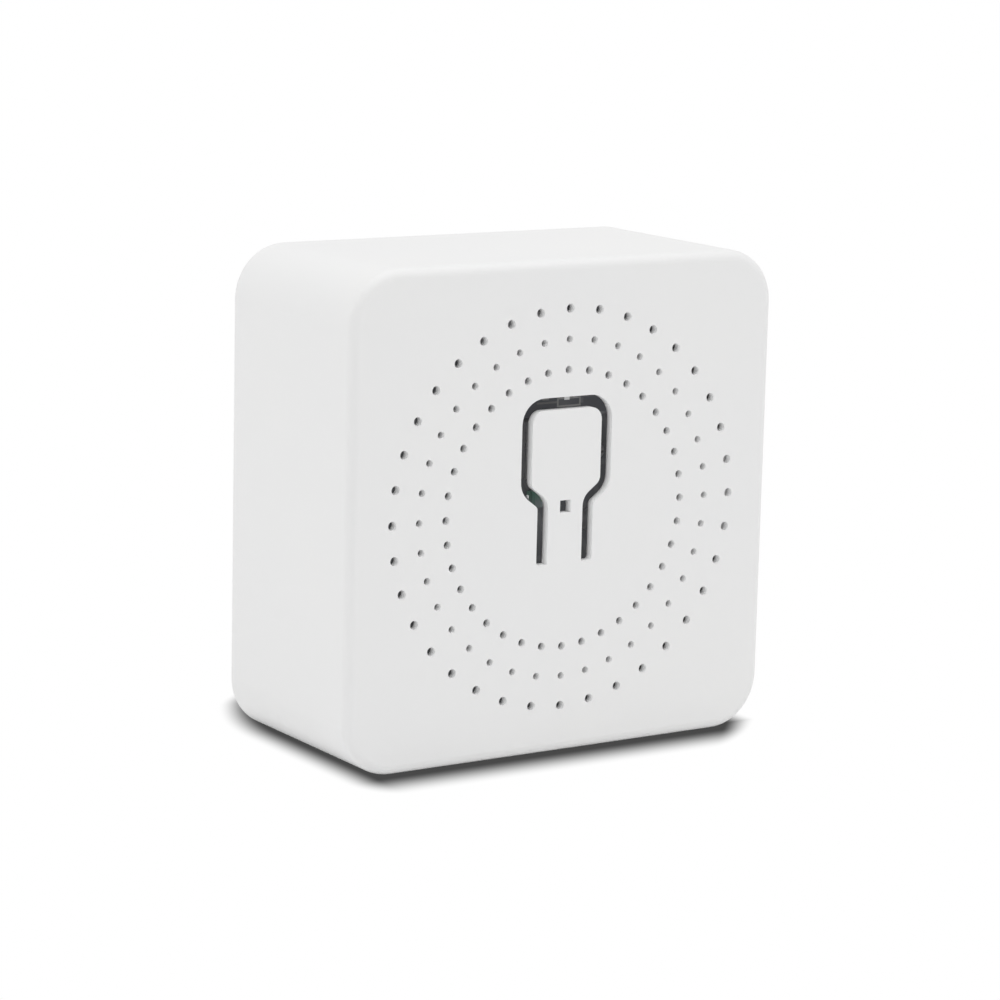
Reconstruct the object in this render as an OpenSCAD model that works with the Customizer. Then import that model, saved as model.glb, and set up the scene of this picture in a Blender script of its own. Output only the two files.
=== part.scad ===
// Smart relay module: a square wall-box switch with a flexing push tongue, vent rings, a five-way
// terminal block along its bottom side and a relay, radio and supply on one board.
// Millimetres, +Z up, the front faces -Y, and the origin is under the middle of the bottom side.

/* [Body] */
// Width of the box
body_w = 39.2; // [35.3:0.1:43.9]
// Height of the box
body_h = 39.2; // [35.3:0.1:43.9]
// Depth of the box, front to back
body_d = 18.4; // [16.6:0.1:20.6]
// Radius of the four long corners
corner_r = 4.3; // [3.5:0.1:5]
// Radius of the front edge
edge_r = 0.8; // [0.5:0.1:1.3]
// Radius of the rear edge
rear_r = 0.4; // [0.2:0.05:0.5]
// Thickness of the side walls
side_wall = 1.4; // [1.2:0.05:1.5]
// Thickness of the front wall round the vent field
front_wall = 1.4; // [1.1:0.05:1.6]
// Thickness of the thinned vent field, and of the push tongue
web_t = 0.7; // [0.6:0.05:1]

/* [Vents] */
// Radius of the inner vent ring
vent_ring_r = 11; // [10.4:0.1:11.4]
// Step from one vent ring to the next
vent_ring_step = 2.4; // [1.6:0.1:2.6]
// Holes in each vent ring
vent_count = 36; // [12:1:40]
// Hole diameters, inner ring first
vent_d = [0.64, 0.58, 0.72];
// Margin of the thinned field round the outer holes
vent_margin = 1; // [0.5:0.1:1.2]

/* [Push tongue] */
// Width of the slot round the tongue
slot_w = 0.99; // [0.6:0.01:1.1]
// Width of the tongue's head
head_w = 6.44; // [6:0.02:7]
// Width of the tongue's leg
leg_w = 3.24; // [3:0.02:3.8]
// Top of the tongue above the middle of the front
tongue_top = 7.9; // [7.6:0.05:8.4]
// Height above the middle where the shoulders start to narrow
shoulder_z = 2; // [1.8:0.05:2.4]
// Height over which the shoulders narrow
shoulder_drop = 1.2; // [1.1:0.05:1.7]
// Root of the tongue below the middle of the front
tongue_root = 4.3; // [3.8:0.1:5]
// Radius of the head's top corners
head_r = 1; // [0.6:0.05:1.4]
// Radius where the head starts to narrow
shoulder_r = 0.85; // [0.5:0.05:1.2]
// Radius where the shoulder meets the leg
neck_r = 1.45; // [1.3:0.05:1.8]
// Radius at the foot of the slot
slot_foot_r = 0.3; // [0.1:0.05:0.4]
// Side of the square light window
window_w = 1; // [0.7:0.05:1.3]
// Height of the window's middle above the middle of the front
window_z = 0.2; // [-0.2:0.05:0.4]
// Height of the push post above the middle of the front
post_z = 4.4; // [4.2:0.1:4.6]
// Radius of the push post
post_r = 0.9; // [0.6:0.05:1]
// Free play between the push post and the switch
push_play = 0.05; // [0.04:0.01:0.1]
// Slant of the tongue's root, in degrees
root_slant = 4; // [3:0.5:5]

/* [Rear cover] */
// Thickness of the rear cover
cover_t = 1.4; // [1.2:0.05:1.6]
// Thickness of the housing's rim round the cover
rim_t = 0.7; // [0.6:0.05:0.8]
// Clearance round the cover
cover_gap = 0.1; // [0.05:0.01:0.15]
// Diameter of the screwdriver holes
driver_d = 3.5; // [3.2:0.1:3.6]
// Height of the clips above and below the middle
clip_z = 12; // [11.8:0.1:12.4]
// Width of a clip
clip_w = 4; // [3:0.1:4.4]
// Thickness of a clip's arm
clip_t = 0.9; // [0.7:0.05:1]
// Length of a clip's arm
clip_l = 4.2; // [3.6:0.1:4.8]
// Reach of a clip's barb into the wall
clip_barb = 0.45; // [0.3:0.05:0.55]
// Length of a barb's slope
barb_slope = 1; // [0.8:0.05:1.2]
// Length of a barb's flat top
barb_flat = 0.3; // [0.2:0.05:0.4]
// Clearance between a clip and the housing
clip_gap = 0.2; // [0.1:0.05:0.25]
// Clearance of a barb in its pocket
barb_gap = 0.1; // [0.05:0.01:0.15]
// Width of the pry notch in the cover's top edge
pry_w = 6; // [4:0.5:9]
// Depth of the pry notch
pry_h = 0.8; // [0.6:0.05:1]

/* [Board] */
// Distance from the front face to the board
board_setback = 4; // [3.9:0.05:4.6]
// Thickness of the board
board_t = 1.2; // [1:0.05:1.4]
// Clearance from the board's edge to the walls
board_gap = 0.4; // [0.2:0.05:0.5]
// Distance of the corner posts from the inner walls
post_inset = 2.6; // [2.2:0.1:3]
// Radius of the posts that carry the board
carry_r = 1.8; // [1.4:0.1:2]
// Radius of the cover's posts that hold the board down
hold_r = 1.4; // [1:0.1:1.6]
// Length of the solder legs in front of the board
solder_l = 1; // [0.8:0.05:1.2]
// Radius of a solder joint at the board
solder_r = 0.95; // [0.85:0.05:1]
// Extra radius of a solder joint at its tip
solder_lip = 0.25; // [0.15:0.05:0.3]
// Height of a solder joint, as a share of the legs' length
solder_share = 0.7; // [0.6:0.05:0.8]
// Clearance round a leg in its hole
leg_gap = 0.1; // [0.05:0.01:0.15]
// Half width of a flat solder leg
leg_half = 0.6; // [0.5:0.05:0.7]
// Clearance between neighbouring parts on the board
part_gap = 0.6; // [0.4:0.05:0.7]
// Clearance between the relay and the row of flat chips
row_gap = 0.85; // [0.7:0.05:1]
// Clearance between the flat chips and the chip parts
smd_gap = 0.65; // [0.5:0.05:0.75]
// Clearance from the tallest part to the rear cover
rear_gap = 0.6; // [0.4:0.05:0.8]
// Length of a chip part
smd_l = 1.8; // [1.4:0.1:2]
// Width of a chip part
smd_w = 1; // [0.6:0.05:1.1]
// Height of a chip part
smd_t = 0.6; // [0.3:0.05:0.7]
// Length of a chip part on the front
smd_side = 0.6; // [0.5:0.05:0.8]
// Drop of the lowest chip part on the front below the middle
smd_drop = 6; // [5.8:0.1:6.2]
// Rise of the other chip parts on the front above the block
smd_rise = 2.6; // [2.4:0.1:2.8]

/* [Terminals] */
// Pitch of the terminals
pole_pitch = 6.2; // [6:0.05:6.3]
// Width of a clamp cage
cage_w = 4.4; // [4.2:0.05:4.5]
// Length of a clamp cage along the wire
cage_l = 4.6; // [4.2:0.05:4.8]
// Wall of a clamp cage
cage_wall = 0.8; // [0.7:0.05:0.9]
// Threaded head of a clamp cage
cage_head = 1.3; // [1.1:0.05:1.4]
// Clearance below a clamp cage in its cell
cage_foot = 0.2; // [0.1:0.05:0.3]
// Clearance between a cage's head and its rail
cage_play = 0.1; // [0.08:0.01:0.15]
// Opening of a clamp cage for the wire
clamp_open = 3; // [2.9:0.05:3.1]
// Thickness of the contact rails
rail_t = 0.6; // [0.5:0.05:0.7]
// Reach of the contact rails past the cages
rail_reach = 1.3; // [1.1:0.05:1.5]
// Clearance of a contact rail in its cage
rail_gap = 0.1; // [0.05:0.01:0.2]
// Radius of a wire entry
wire_r = 1.4; // [1.2:0.05:1.45]
// Length of a wire entry's round wall
wire_l = 2.2; // [1.8:0.1:2.4]
// Depth of the flared mouth of a wire entry
flare_l = 0.8; // [0.5:0.1:1]
// Extra radius of the flared mouth
flare_r = 0.8; // [0.4:0.1:1]
// Recess of the block below the bottom side
block_recess = 0.3; // [0.2:0.05:0.4]
// Floor of the block under the cages
block_floor = 1; // [0.8:0.05:1.1]
// End walls of the block
block_end = 1.4; // [1:0.05:1.6]
// Reach of the block past the contact rails
block_rim = 0.9; // [0.7:0.05:1]
// Thickness of the block under the screw heads
roof_t = 0.8; // [0.7:0.05:0.9]
// Radius of a terminal screw's thread
screw_r = 1.25; // [1.1:0.05:1.3]
// Radius of a terminal screw's head
screw_head_r = 2; // [1.9:0.05:2.05]
// Height of a terminal screw's head
screw_head_l = 1.4; // [1.2:0.05:1.5]
// Clearance between the screw heads and the rear cover
screw_sink = 0.3; // [0.2:0.05:0.35]
// Bevel of a terminal screw's head
head_bevel = 0.21; // [0.1:0.01:0.3]
// Clearance between a screw's tip and its rail
tip_gap = 0.03; // [0.02:0.01:0.05]
// Clearance of a screw's thread in the block
thread_gap = 0.1; // [0.05:0.01:0.15]
// Width of the screw's slot
driver_slot = 0.6; // [0.5:0.05:0.8]
// Running clearance of screws and cages
run_gap = 0.05; // [0.03:0.01:0.08]

/* [Relay] */
// Length of the relay
relay_w = 20; // [18:0.1:22]
// Width of the relay
relay_h = 15; // [14.8:0.1:15.4]
// Height of the relay over the board
relay_d = 10.2; // [10:0.1:10.6]
// Wall of the relay's cover
relay_wall = 0.6; // [0.5:0.05:0.6]
// Radius of the relay's upright corners
relay_r = 0.8; // [0.7:0.05:1]
// Thickness of the relay's base
relay_base_t = 1.2; // [1:0.05:1.3]
// Clearance between the relay and the terminal block
relay_gap = 0.7; // [0.5:0.05:0.8]
// Contact gap of the relay
contact_gap = 0.6; // [0.4:0.05:0.65]
// Gap left between the closed contacts
closed_gap = 0.05; // [0.03:0.01:0.08]
// Distance from the armature's pivot to the contacts
contact_arm = 10; // [9.5:0.1:10.5]
// Thickness of the yoke and the armature
iron_t = 1.2; // [1:0.05:1.2]
// Radius of the coil's core
core_r = 1.6; // [1.3:0.05:1.8]
// Extra radius of the core's pole
pole_lip = 1; // [0.8:0.05:1.1]
// Wall of the bobbin's tube
tube_t = 0.6; // [0.4:0.05:0.7]
// Side of the bobbin's flanges
flange_w = 7.8; // [7.4:0.1:7.8]
// Thickness of the bobbin's flanges
flange_t = 0.8; // [0.7:0.05:1]
// Depth of the winding below the flanges' edges
winding_inset = 0.3; // [0.2:0.05:0.5]
// Distance of the coil's pins from the flange's edges
pin_edge = 0.9; // [0.8:0.05:1.1]
// Length of the coil's pins in the flange
pin_l = 2; // [1.6:0.1:2.2]
// Thickness of the core's pole
pole_t = 0.6; // [0.4:0.05:0.7]
// Room for the armature's swing
arm_room = 2.4; // [2.2:0.05:2.6]
// Width of the armature
armature_w = 5.4; // [5:0.1:5.8]
// Distance of the armature's end from the flange's edge
arm_inset = 0.4; // [0.2:0.05:0.6]
// Gap left between the closed armature and the pole
pole_gap = 0.1; // [0.05:0.01:0.15]
// Clearance between the yoke and the armature at the pivot
pivot_gap = 0.03; // [0.02:0.01:0.05]
// Clearance round the coil
coil_gap = 0.5; // [0.4:0.05:0.6]
// Clearance between the yoke and the relay's wall
yoke_gap = 0.4; // [0.3:0.05:0.5]
// Distance of the yoke's edge from the flange's edge
yoke_inset = 0.6; // [0.5:0.05:0.8]
// Clearance between the yoke and the coil
coil_lift = 0.6; // [0.5:0.05:0.7]
// Room between the contact spring and the yoke
spring_room = 1.2; // [1:0.05:1.3]
// Radius of the contacts
contact_r = 1.3; // [1:0.05:1.4]
// Thickness of the contacts
contact_t = 0.5; // [0.4:0.05:0.55]
// Half width of the contact strips
strip_half = 1.6; // [1.4:0.05:1.8]
// Extra half width of the contact spring
leaf_over = 0.4; // [0.2:0.05:0.5]
// Thickness of the contact spring
leaf_t = 0.25; // [0.15:0.05:0.3]
// Thickness of the fixed contact's strip
strip_t = 0.5; // [0.4:0.05:0.55]
// Clearance between that strip and the relay's wall
strip_gap = 0.1; // [0.05:0.01:0.15]

/* [Supply parts] */
// Clearance between the terminal block's line and the first row
first_gap = 0.4; // [0.3:0.05:0.5]
// Clearance between the first row and the second
second_gap = 0.7; // [0.5:0.05:0.8]
// Clearance between the second row and the fusible resistor
third_gap = 0.8; // [0.6:0.05:0.9]
// Diameter of the bulk capacitor
bulk_d = 8; // [6.3:0.1:8.2]
// Height of the bulk capacitor
bulk_l = 11.2; // [9:0.1:11.4]
// Diameter of the output capacitor
output_d = 6.3; // [5:0.1:6.4]
// Height of the output capacitor
output_l = 8; // [7:0.1:10]
// Radius of a can's rear edge
can_edge_r = 0.6; // [0.4:0.05:0.8]
// Radius of the groove near a capacitor's foot
seal_r = 0.3; // [0.2:0.05:0.4]
// Height of that groove, as a share of the can's height
seal_share = 0.16; // [0.14:0.01:0.2]
// Diameter of the choke
choke_d = 6.5; // [5:0.1:6.8]
// Height of the choke
choke_l = 8; // [6:0.1:10]
// Diameter of the varistor
varistor_d = 7.5; // [6:0.1:7.8]
// Thickness of the varistor
varistor_t = 3.4; // [2.8:0.1:3.6]
// Diameter of the fusible resistor
fuse_d = 3.2; // [2.5:0.1:3.4]
// Height of the fusible resistor
fuse_l = 8.5; // [7:0.1:9]
// Height of the fusible resistor over the board
fuse_rise = 0.4; // [0.3:0.05:0.5]
// Offset of the fusible resistor from the choke
fuse_shift = 2; // [1.9:0.05:2.1]
// Pitch of the fusible resistor's legs
fuse_legs = 2.6; // [2.5:0.05:2.8]
// Pitch of the bulk capacitor's and the choke's legs
lead_legs = 3.5; // [3.3:0.05:3.6]
// Pitch of the output capacitor's legs
output_legs = 2.5; // [2.4:0.05:2.6]
// Pitch of the varistor's legs
varistor_legs = 5; // [4.8:0.05:5.1]
// Radius of the wire legs
lead_r = 0.3; // [0.25:0.01:0.4]
// Length of the supply chip
chip_w = 4.9; // [4.5:0.1:5]
// Width of the supply chip
chip_h = 3.9; // [3.5:0.1:4]
// Height of the supply chip
chip_t = 1.6; // [1.2:0.05:1.8]
// Length of the legs of the flat chips
chip_leg = 0.8; // [0.5:0.05:0.9]
// Width of the legs of the flat chips
chip_leg_w = 0.5; // [0.4:0.05:0.6]
// Thickness of the legs of the flat chips
chip_leg_t = 0.3; // [0.2:0.05:0.35]
// Clearance between the flat chips and the board
chip_lift = 0.1; // [0.05:0.01:0.15]
// Length of the bridge rectifier
bridge_w = 4.8; // [4.2:0.1:5]
// Length of the regulator
regulator_w = 5.2; // [4.6:0.1:5.4]
// Free space above the supply parts
supply_top = 7.2; // [6:0.1:8]
// Free space above the chip parts
chip_top = 3; // [2:0.1:4]

/* [Radio and switch] */
// Width of the radio board
radio_w = 17.3; // [16:0.1:18]
// Height of the radio board
radio_h = 10.4; // [10:0.1:10.6]
// Thickness of the radio board
radio_t = 0.8; // [0.6:0.05:0.9]
// Width of the shield can
shield_w = 9.5; // [8:0.1:10]
// Length of the shield can
shield_h = 6.6; // [6:0.1:7]
// Height of the shield can
shield_d = 1.4; // [1.2:0.05:1.5]
// Wall of the shield can
shield_wall = 0.2; // [0.15:0.01:0.25]
// Distance of the shield can from the radio board's edge
shield_inset = 1; // [0.8:0.05:1.2]
// Side of the radio chip
radio_chip_w = 5; // [4:0.1:6]
// Free space above the radio board
radio_top = 0.9; // [0.6:0.05:1.2]
// Clearance between the radio board and the switch
radio_gap = 0.25; // [0.2:0.05:0.3]
// Pitch of the radio board's half-round pads
radio_pitch = 1.5; // [1.2:0.05:1.6]
// Radius of those pads
radio_pad_r = 0.3; // [0.25:0.05:0.4]
// Side of the push switch
switch_w = 4.5; // [4.2:0.1:4.6]
// Height of the push switch's base
switch_d = 1.5; // [1.3:0.05:1.6]
// Thickness of the switch's frame
frame_t = 0.15; // [0.1:0.01:0.2]
// Width of the frame's side tabs
tab_w = 2; // [1.6:0.1:2.4]
// Clearance between those tabs and the board
tab_gap = 0.4; // [0.3:0.05:0.5]
// Width of the switch's legs
switch_leg_w = 0.5; // [0.4:0.05:0.6]
// Thickness of the switch's legs
switch_leg_t = 0.2; // [0.15:0.05:0.3]
// Radius of the switch's plunger
plunger_r = 1; // [0.8:0.05:1.1]
// Height of the plunger over the frame
plunger_l = 0.45; // [0.4:0.01:0.5]
// Thickness of the plunger's flange
flange_l = 0.3; // [0.25:0.05:0.35]
// Extra radius of that flange
flange_over = 0.5; // [0.4:0.05:0.6]
// Clearance round that flange
well_gap = 0.2; // [0.1:0.05:0.3]
// Clearance behind that flange when it is pressed
well_room = 0.35; // [0.3:0.05:0.4]
// Stroke of the switch
stroke = 0.25; // [0.15:0.01:0.3]
// Length of the lamp
lamp_l = 2; // [1.6:0.1:2.4]
// Length of the lamp's lens
lens_l = 1.4; // [1.1:0.1:1.5]
// Height of the lamp
lamp_h = 1.25; // [0.8:0.05:1.3]
// Thickness of the lamp
lamp_t = 0.75; // [0.6:0.05:0.9]
// Thickness of the lamp's base
lamp_base = 0.3; // [0.2:0.05:0.4]

/* [Hidden] */
$fn = 48;
// How far a cut runs past the face that it opens
over = 1;
// Depth planes, front to back
y_front = -body_d / 2;
y_rear = body_d / 2;
y_wall = y_front + front_wall;
y_web = y_front + web_t;
y_board = y_front + board_setback;
y_parts = y_board + board_t;
y_cover = y_rear - cover_t;
y_leg_end = y_board - solder_l;
// Inside of the walls
in_x = body_w / 2 - side_wall;
in_top = body_h - side_wall;
mid_z = body_h / 2;
board_w = 2 * (in_x - board_gap);
board_h = body_h - 2 * (side_wall + board_gap);
post_x = in_x - post_inset;
post_dz = mid_z - side_wall - post_inset;
field_r = vent_ring_r + 2 * vent_ring_step + vent_d[2] / 2 + vent_margin;
// Terminal block, from the bottom side up and from the board back
pole_count = 5;
block_w = pole_pitch * (pole_count - 1) + cage_w + 2 * (run_gap + block_end);
block_z = block_recess;
bore_z = block_z + flare_l;
cell_z = bore_z + wire_l;
cage_z = cell_z + cage_foot;
cage_mid = cage_z + cage_l / 2;
rail_end = cage_z + cage_l + rail_reach;
block_top = rail_end + block_rim;
cage_y = y_parts + block_floor;
clamp_y = cage_y + cage_wall;
rail_y = clamp_y + clamp_open;
tip_y = rail_y + rail_t + tip_gap;
cage_head_y = rail_y + rail_t + cage_play;
cage_top_y = cage_head_y + cage_head;
head_y = y_cover - screw_sink - screw_head_l;
roof_y = head_y - roof_t;
wire_y = clamp_y + clamp_open / 2;
// How far the parts fill the room behind the board, above the block
relay_x0 = -board_w / 2 + part_gap;
relay_z0 = block_top + relay_gap;
chip_row = chip_h + 2 * chip_leg;
room_h = in_top - relay_z0;
fit_y = (y_cover - y_parts) / (bulk_l + rear_gap);
fit_z = room_h / (relay_h + row_gap + chip_row + smd_gap + smd_l + chip_top);
// Relay, above the block at the left
relay_x1 = relay_x0 + relay_w;
relay_z1 = relay_z0 + relay_h * fit_z;
relay_in_y = y_parts + relay_base_t;
relay_top_y = y_parts + relay_d * fit_y;
strip_z = relay_z0 + relay_wall + strip_gap;
fixed_z = strip_z + strip_t + contact_t;
moving_z = fixed_z + contact_gap + closed_gap;
leaf_z = moving_z + contact_t;
yoke_z = leaf_z + leaf_t + spring_room;
pivot_z = yoke_z + iron_t;
coil_low = pivot_z + coil_lift;
spare_z = relay_z1 - relay_wall - coil_gap - coil_low - flange_w;
spare_y = relay_top_y - relay_wall - coil_gap - relay_in_y - flange_w;
flange = flange_w + min(spare_z, spare_y);
coil_fit = flange / flange_w;
core = core_r * coil_fit;
tube = (core_r + tube_t) * coil_fit;
coil_z = coil_low + flange / 2;
coil_y = relay_in_y + flange / 2;
yoke_x = relay_x0 + relay_wall + yoke_gap;
bobbin_x = yoke_x + iron_t;
bobbin_x1 = relay_x1 - relay_wall - arm_room - iron_t - pole_t;
arm_angle = asin(contact_gap / contact_arm);
arm_top = coil_z + flange / 2 - arm_inset;
pole_face_x = bobbin_x1 + pole_t;
pivot_x = pole_face_x + (arm_top - pivot_z) * tan(arm_angle) + pole_gap;
contact_x = pivot_x - contact_arm;
arm_w = armature_w * coil_fit;
// Flat chips in a row above the relay, and a row of chip parts above them
chips_z = relay_z1 + (row_gap + chip_row / 2) * fit_z;
smd_z = relay_z1 + (row_gap + chip_row + smd_gap) * fit_z;
// Supply parts, against the right wall
supply_x1 = in_x - side_wall;
first_d = max(bulk_d, varistor_d);
second_d = max(choke_d, output_d);
need_x = max(varistor_t + bulk_d, output_d + choke_d) + part_gap;
need_z = first_gap + first_d + second_gap + second_d + third_gap + fuse_d + supply_top;
fit_s = min((supply_x1 - relay_x1 - part_gap) / need_x, room_h / need_z);
supply_x0 = supply_x1 - need_x * fit_s;
varistor_x = supply_x0 + varistor_t * fit_s / 2;
bulk_x = supply_x0 + (varistor_t + part_gap + bulk_d / 2) * fit_s;
bulk_z = relay_z0 + (first_gap + bulk_d / 2) * fit_s;
varistor_z = relay_z0 + (first_gap + varistor_d / 2) * fit_s;
second_z = relay_z0 + (first_gap + first_d + second_gap) * fit_s;
output_x = supply_x0 + output_d * fit_s / 2;
output_z = second_z + output_d * fit_s / 2;
choke_x = supply_x0 + (output_d + part_gap + choke_d / 2) * fit_s;
choke_z = second_z + choke_d * fit_s / 2;
third_z = second_z + (second_d + third_gap) * fit_s;
fuse_x = choke_x - fuse_shift * fit_s;
fuse_z = third_z + fuse_d * fit_s / 2;
fuse_pitch = fuse_legs * fit_s;
lead_pitch = lead_legs * fit_s;
output_pitch = output_legs * fit_s;
varistor_pitch = varistor_legs * fit_s;
gap_x = (varistor_x + bulk_x - lead_pitch / 2) / 2;
// Front side of the board
switch_z = mid_z + post_z;
radio_z0 = switch_z + switch_w / 2 + radio_gap;
fit_r = (in_top - radio_z0) / (radio_h + radio_top);
radio_z1 = radio_z0 + radio_h * fit_r;
lamp_z = mid_z + window_z;
y_base = y_board - switch_d;
y_frame = y_base - frame_t;
y_plunger = y_frame - plunger_l;
push_tip = y_plunger - push_play;

// Where each terminal stands, counted from the left
function pole_x(i) = (i - (pole_count - 1) / 2) * pole_pitch;

// Every solder leg as [x, z, half width, half height]; a round leg has its radius twice
rail_leg_z = rail_end - rail_t / 2;
function wire_pair(x, z, dx, dz = 0) =
  [for (s = [-1, 1]) [x + s * dx / 2, z + s * dz / 2, lead_r, lead_r]];
flat_legs = concat(
  [for (i = [0:pole_count - 1]) [pole_x(i), rail_leg_z, leg_half, rail_t / 2]],
  [
    [contact_x, strip_z + strip_t / 2, leg_half, strip_t / 2],
    [yoke_x + relay_w / 4, yoke_z + iron_t / 2, leg_half, iron_t / 2]
  ]
);
round_legs = concat(
  wire_pair(bobbin_x + flange_t / 2, coil_z, 0, flange - 2 * pin_edge),
  wire_pair(varistor_x, varistor_z, 0, varistor_pitch),
  wire_pair(bulk_x, bulk_z, lead_pitch),
  wire_pair(output_x, output_z, output_pitch),
  wire_pair(choke_x, choke_z, lead_pitch),
  wire_pair(fuse_x + fuse_pitch / 2, fuse_z, fuse_pitch)
);

// A box between two corners
module span(x0, x1, y0, y1, z0, z1) {
  translate([x0, y0, z0]) cube([x1 - x0, y1 - y0, z1 - z0]);
}

// A flat shape drawn in X and Z, made solid from y0 back to y1
module along_y(y0, y1) {
  translate([0, y1, 0]) rotate([90, 0, 0]) linear_extrude(y1 - y0) children();
}

// A round bar along Y
module rod_y(x, z, r, y0, y1) {
  translate([x, y0, z]) rotate([-90, 0, 0]) cylinder(r = r, h = y1 - y0);
}

// A round bar along X
module rod_x(y, z, r, x0, x1) {
  translate([x0, y, z]) rotate([0, 90, 0]) cylinder(r = r, h = x1 - x0);
}

// A quarter disc in the first quadrant
module quarter(r) {
  intersection() {
    circle(r);
    square(r);
  }
}

// A rectangle with round corners, about its middle
module rounded(w, h, r) {
  square([w - 2 * r, h], center = true);
  square([w, h - 2 * r], center = true);
  for (sx = [0, 1], sy = [0, 1])
    mirror([sx, 0]) mirror([0, sy]) translate([w / 2 - r, h / 2 - r]) quarter(r);
}

// Section of a wall band, its far edge rounded by r and its near edge by r0
module edge_section(w, d, r, r0 = 0) {
  square([w - r, d]);
  square([w - r0, d - r]);
  translate([0, r0]) square([w, d - r - r0]);
  translate([w - r, d - r]) quarter(r);
  if (r0 > 0) translate([w - r0, r0]) mirror([0, 1]) quarter(r0);
}

// Solid block of the box with round corners and edges; its back is at z = 0
module box_blank(w, h, d, rc, re, r0) {
  translate([0, 0, d / 2]) cube([w - 2 * rc, h - 2 * rc, d], center = true);
  for (s = [0, 1]) {
    mirror([s, 0, 0]) translate([w / 2 - rc, 0, 0]) rotate([90, 0, 0])
      linear_extrude(h - 2 * rc, center = true) edge_section(rc, d, re, r0);
    mirror([0, s, 0]) translate([0, h / 2 - rc, 0]) rotate([90, 0, 90])
      linear_extrude(w - 2 * rc, center = true) edge_section(rc, d, re, r0);
  }
  for (sx = [0, 1], sy = [0, 1])
    mirror([sx, 0, 0]) mirror([0, sy, 0]) translate([w / 2 - rc, h / 2 - rc, 0])
      rotate_extrude(angle = 90) edge_section(rc, d, re, r0);
}

// Points of the arc that rounds the corner b between a and c
function unit(v) = v / norm(v);
function corner_arc(a, b, c, r, steps = 8) =
  let (u = unit(a - b), v = unit(c - b), half = acos(u * v) / 2)
  let (centre = b + unit(u + v) * r / sin(half))
  let (p = b + u * r / tan(half) - centre, turn = sign(u[0] * v[1] - u[1] * v[0]) * (180 - 2 * half))
  [for (k = [0:steps]) let (t = -turn * k / steps)
    centre + [p[0] * cos(t) - p[1] * sin(t), p[0] * sin(t) + p[1] * cos(t)]];

// Right half of the key-shaped outline, grown outward by g, from the top down
function key_half(g) =
  let (hw = head_w / 2 + g, lw = leg_w / 2 + g, top = tongue_top + g)
  let (lean = atan((head_w - leg_w) / 2 / shoulder_drop), drop = g * tan(lean / 2))
  let (s1 = shoulder_z - drop, s2 = shoulder_z - shoulder_drop - drop)
  concat(
    corner_arc([0, top], [hw, top], [hw, s1], head_r + g),
    corner_arc([hw, top], [hw, s1], [lw, s2], shoulder_r + g),
    corner_arc([hw, s1], [lw, s2], [lw, -tongue_root], neck_r - g)
  );

// Key-shaped outline about the middle of the front; foot rounds the lower corners
module key_outline(g, foot) {
  side = key_half(g);
  lw = leg_w / 2 + g;
  low = foot > 0
    ? corner_arc([lw, 0], [lw, -tongue_root], [0, -tongue_root], foot, 4)
    : [[lw, -tongue_root]];
  right = concat(side, low);
  n = len(right);
  polygon(concat(right, [for (k = [1:n]) [-right[n - k][0], right[n - k][1]]]));
}

// The five-sided cap with its vents and slot
module front_housing() {
  color("whitesmoke") {
    difference() {
      translate([0, y_rear, mid_z]) rotate([90, 0, 0])
        box_blank(body_w, body_h, body_d, corner_r, edge_r, rear_r);
      // Hollow, open to the back
      translate([0, 0, mid_z]) along_y(y_wall, y_rear + over)
        rounded(2 * in_x, body_h - 2 * side_wall, corner_r - side_wall);
      // Seat of the rear cover
      translate([0, 0, mid_z]) along_y(y_cover, y_rear + over)
        rounded(body_w - 2 * rim_t, body_h - 2 * rim_t, corner_r - rim_t);
      // Thinned vent field
      rod_y(0, mid_z, field_r, y_web, y_wall + over);
      for (ring = [0:len(vent_d) - 1], i = [0:vent_count - 1])
        translate([0, 0, mid_z]) rotate([0, i * 360 / vent_count, 0])
          rod_y(0, vent_ring_r + ring * vent_ring_step, vent_d[ring] / 2, y_front - over, y_web + over);
      translate([0, 0, mid_z]) along_y(y_front - over, y_web + over) key_outline(slot_w, slot_foot_r);
      // Cut-out for the terminal block
      span(-block_w / 2 - cover_gap, block_w / 2 + cover_gap, y_parts - cover_gap, y_cover,
        -over, side_wall + over);
      // Pockets for the cover's clips
      for (sx = [0, 1], sz = [-1, 1])
        mirror([sx, 0, 0]) span(in_x - over, in_x + clip_barb + barb_gap,
          y_cover - clip_l - barb_gap, y_cover - clip_l + barb_slope + barb_flat + clip_gap,
          mid_z + sz * clip_z - clip_w / 2 - clip_gap,
          mid_z + sz * clip_z + clip_w / 2 + clip_gap);
    }
    // Posts that carry the board
    for (sx = [-1, 1], sz = [-1, 1])
      rod_y(sx * post_x, mid_z + sz * post_dz, carry_r, y_wall, y_board);
  }
}

// The push tongue; its lower edge is relieved behind, where it bends
module button_tongue() {
  color("whitesmoke") difference() {
    union() {
      translate([0, 0, mid_z]) along_y(y_front, y_web) key_outline(0, 0);
      rod_y(0, switch_z, post_r, y_web, push_tip);
    }
    translate([0, 0, lamp_z]) span(-window_w / 2, window_w / 2, y_front - over, y_web + over,
      -window_w / 2, window_w / 2);
    translate([0, y_front, mid_z - tongue_root]) rotate([root_slant, 0, 0])
      span(-leg_w, leg_w, -over, 2 * over, -2 * over, 0);
  }
}

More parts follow.
